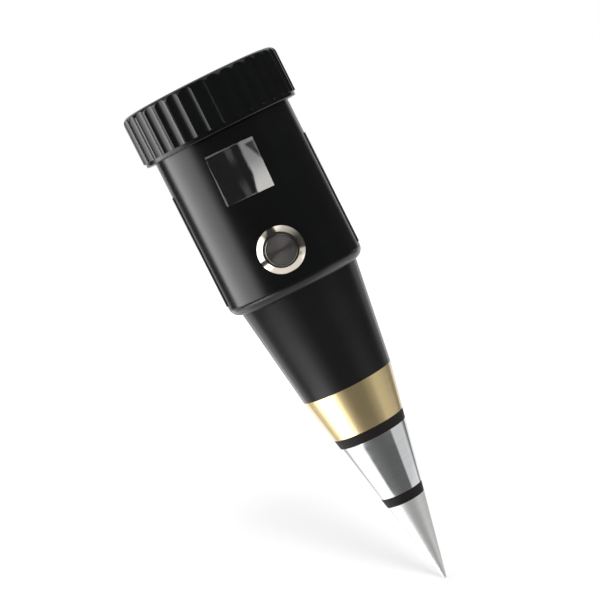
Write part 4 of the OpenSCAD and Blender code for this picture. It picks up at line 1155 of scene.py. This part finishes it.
# %% Print the two scales
ACID_NUMBERS = {3: -33.0, 4: -23.1, 5: -10.3, 6: 3.4, 7: 23.2, 8: 32.4}
ACID_NUMBERS_AT = 24.1
ACID_BAND = (18.7, 20.2)
LADDER = (20.65, 22.45)
LADDER_ENDS = (-33, 32.4)
LONG_RUNG = 23.0
RUNGS = 5
WET_NUMBERS = {8: -28.6, 7: -22.4, 6: -15.8, 5: -9.0, 4: -2.2, 3: 4.4, 2: 11.4, 1: 18.2}
WET_NUMBERS_AT = 15.9
WET_BAND = (16.85, 18.4)
WET_START = -32.5
WET_PITCH = 6.76

black = [
    band("ladder_foot", LADDER[0], 20.85, *LADDER_ENDS),
    band("ladder_top", 22.2, LADDER[1], *LADDER_ENDS),
]
turns = list(ACID_NUMBERS.values())
for low, high in zip(turns, turns[1:]):
    rungs = [low + (high - low) * part / RUNGS for part in range(1, RUNGS)]
    black += [tick(*LADDER, turn, 0.3) for turn in rungs]
black += [tick(LADDER[0], LONG_RUNG, turn, 0.32) for turn in turns]
black += [tick(16.3, WET_BAND[1], WET_START + WET_PITCH * step, 0.16) for step in range(9)]
black += [number(digit, WET_NUMBERS_AT, turn, 1.1) for digit, turn in WET_NUMBERS.items()]
red = [band("acid_band", *ACID_BAND, -33, 22.5)]
lime = [band("sweet_band", *ACID_BAND, 24, 33)]
for digit, turn in ACID_NUMBERS.items():
    (red if digit < 7 else lime).append(number(digit, ACID_NUMBERS_AT, turn, 1.5))
green = [band("wet_band", *WET_BAND, WET_START, 21.3)]
print("marks:", len(black), "black,", len(red), "red,", len(lime), "lime,", len(green), "green")

# %% [markdown]
# Signs stand where the dial explains itself. On each side a raised button, an arrow and a
# pressed button show what the switch does, a full and an empty drop mark the wet and the dry
# end, and a red and a green bar tell which band belongs to which measurement.

# %% Add the signs
STROKE = 0.2
DROP_RADIUS = 0.95
DROP_LINE = 0.24
DROP_RISES = ((0.92, 0.7), (0.75, 0.28), (0.45, 0.1))


def flat_mark(x, y):
    """A point of the dial by its place in the meter's frame."""
    return Vector((x, y, DIAL_TOP)) * MM


def button_sign(x, y, height):
    """A button seen from the side on its panel."""
    sign = [bar(flat_mark(x, y + height), 1.2, STROKE)]
    sign += [bar(flat_mark(x + aside, y + height / 2), STROKE, height) for aside in (-0.5, 0.5)]
    return sign + [bar(flat_mark(x + aside, y), 0.55, STROKE) for aside in (-0.75, 0.75)]


def arrow_sign(x, y):
    """An arrow that points down."""
    bpy.ops.object.select_all(action="DESELECT")
    bpy.ops.mesh.primitive_cylinder_add(
        vertices=3, radius=0.42 * MM, depth=INK * MM, rotation=(0, 0, math.pi),
        location=flat_mark(x, y - 0.35) + Vector((0, 0, INK / 2 * MM)),
    )
    bpy.ops.object.transform_apply(location=True, rotation=True, scale=True)
    return [bpy.context.object, bar(flat_mark(x, y + 0.3), STROKE, 0.9)]


def drop_sign(x, y, full):
    """A drop: a circle whose top is drawn out to a point, printed full or as a line."""
    bpy.ops.object.select_all(action="DESELECT")
    bpy.ops.mesh.primitive_circle_add(
        vertices=32, radius=DROP_RADIUS * MM, fill_type="NGON", location=flat_mark(x, y),
    )
    piece = bpy.context.object
    bpy.ops.object.transform_apply(location=True, rotation=False, scale=False)
    bpy.ops.object.mode_set(mode="EDIT")
    for height, rise in DROP_RISES:
        pick(piece, lambda middle, item: middle.y - y > height * DROP_RADIUS)
        bpy.ops.transform.translate(value=(0, rise * MM, 0))
    if not full:
        bpy.ops.mesh.select_mode(type="FACE")
        bpy.ops.mesh.select_all(action="SELECT")
        bpy.ops.mesh.inset(thickness=DROP_LINE * MM)
        bpy.ops.mesh.delete(type="FACE")
    bpy.ops.object.mode_set(mode="OBJECT")
    thicken(piece)
    return [piece]


for x in (-7.5, 6.9):
    black += button_sign(x, 0.6, 1.1) + arrow_sign(x, -1.1) + button_sign(x, -3.4, 0.7)
black += drop_sign(-14.5, 2.6, True) + drop_sign(13.3, 2.6, False)
red.append(bar(flat_mark(-0.7, 2.1), 3.4, 0.9))
green.append(bar(flat_mark(-0.6, -0.5), 6.0, 0.9))
printing("black_print", "black", black)
printing("red_print", "red", red)
printing("lime_print", "lime", lime)
printing("green_print", "green", green)
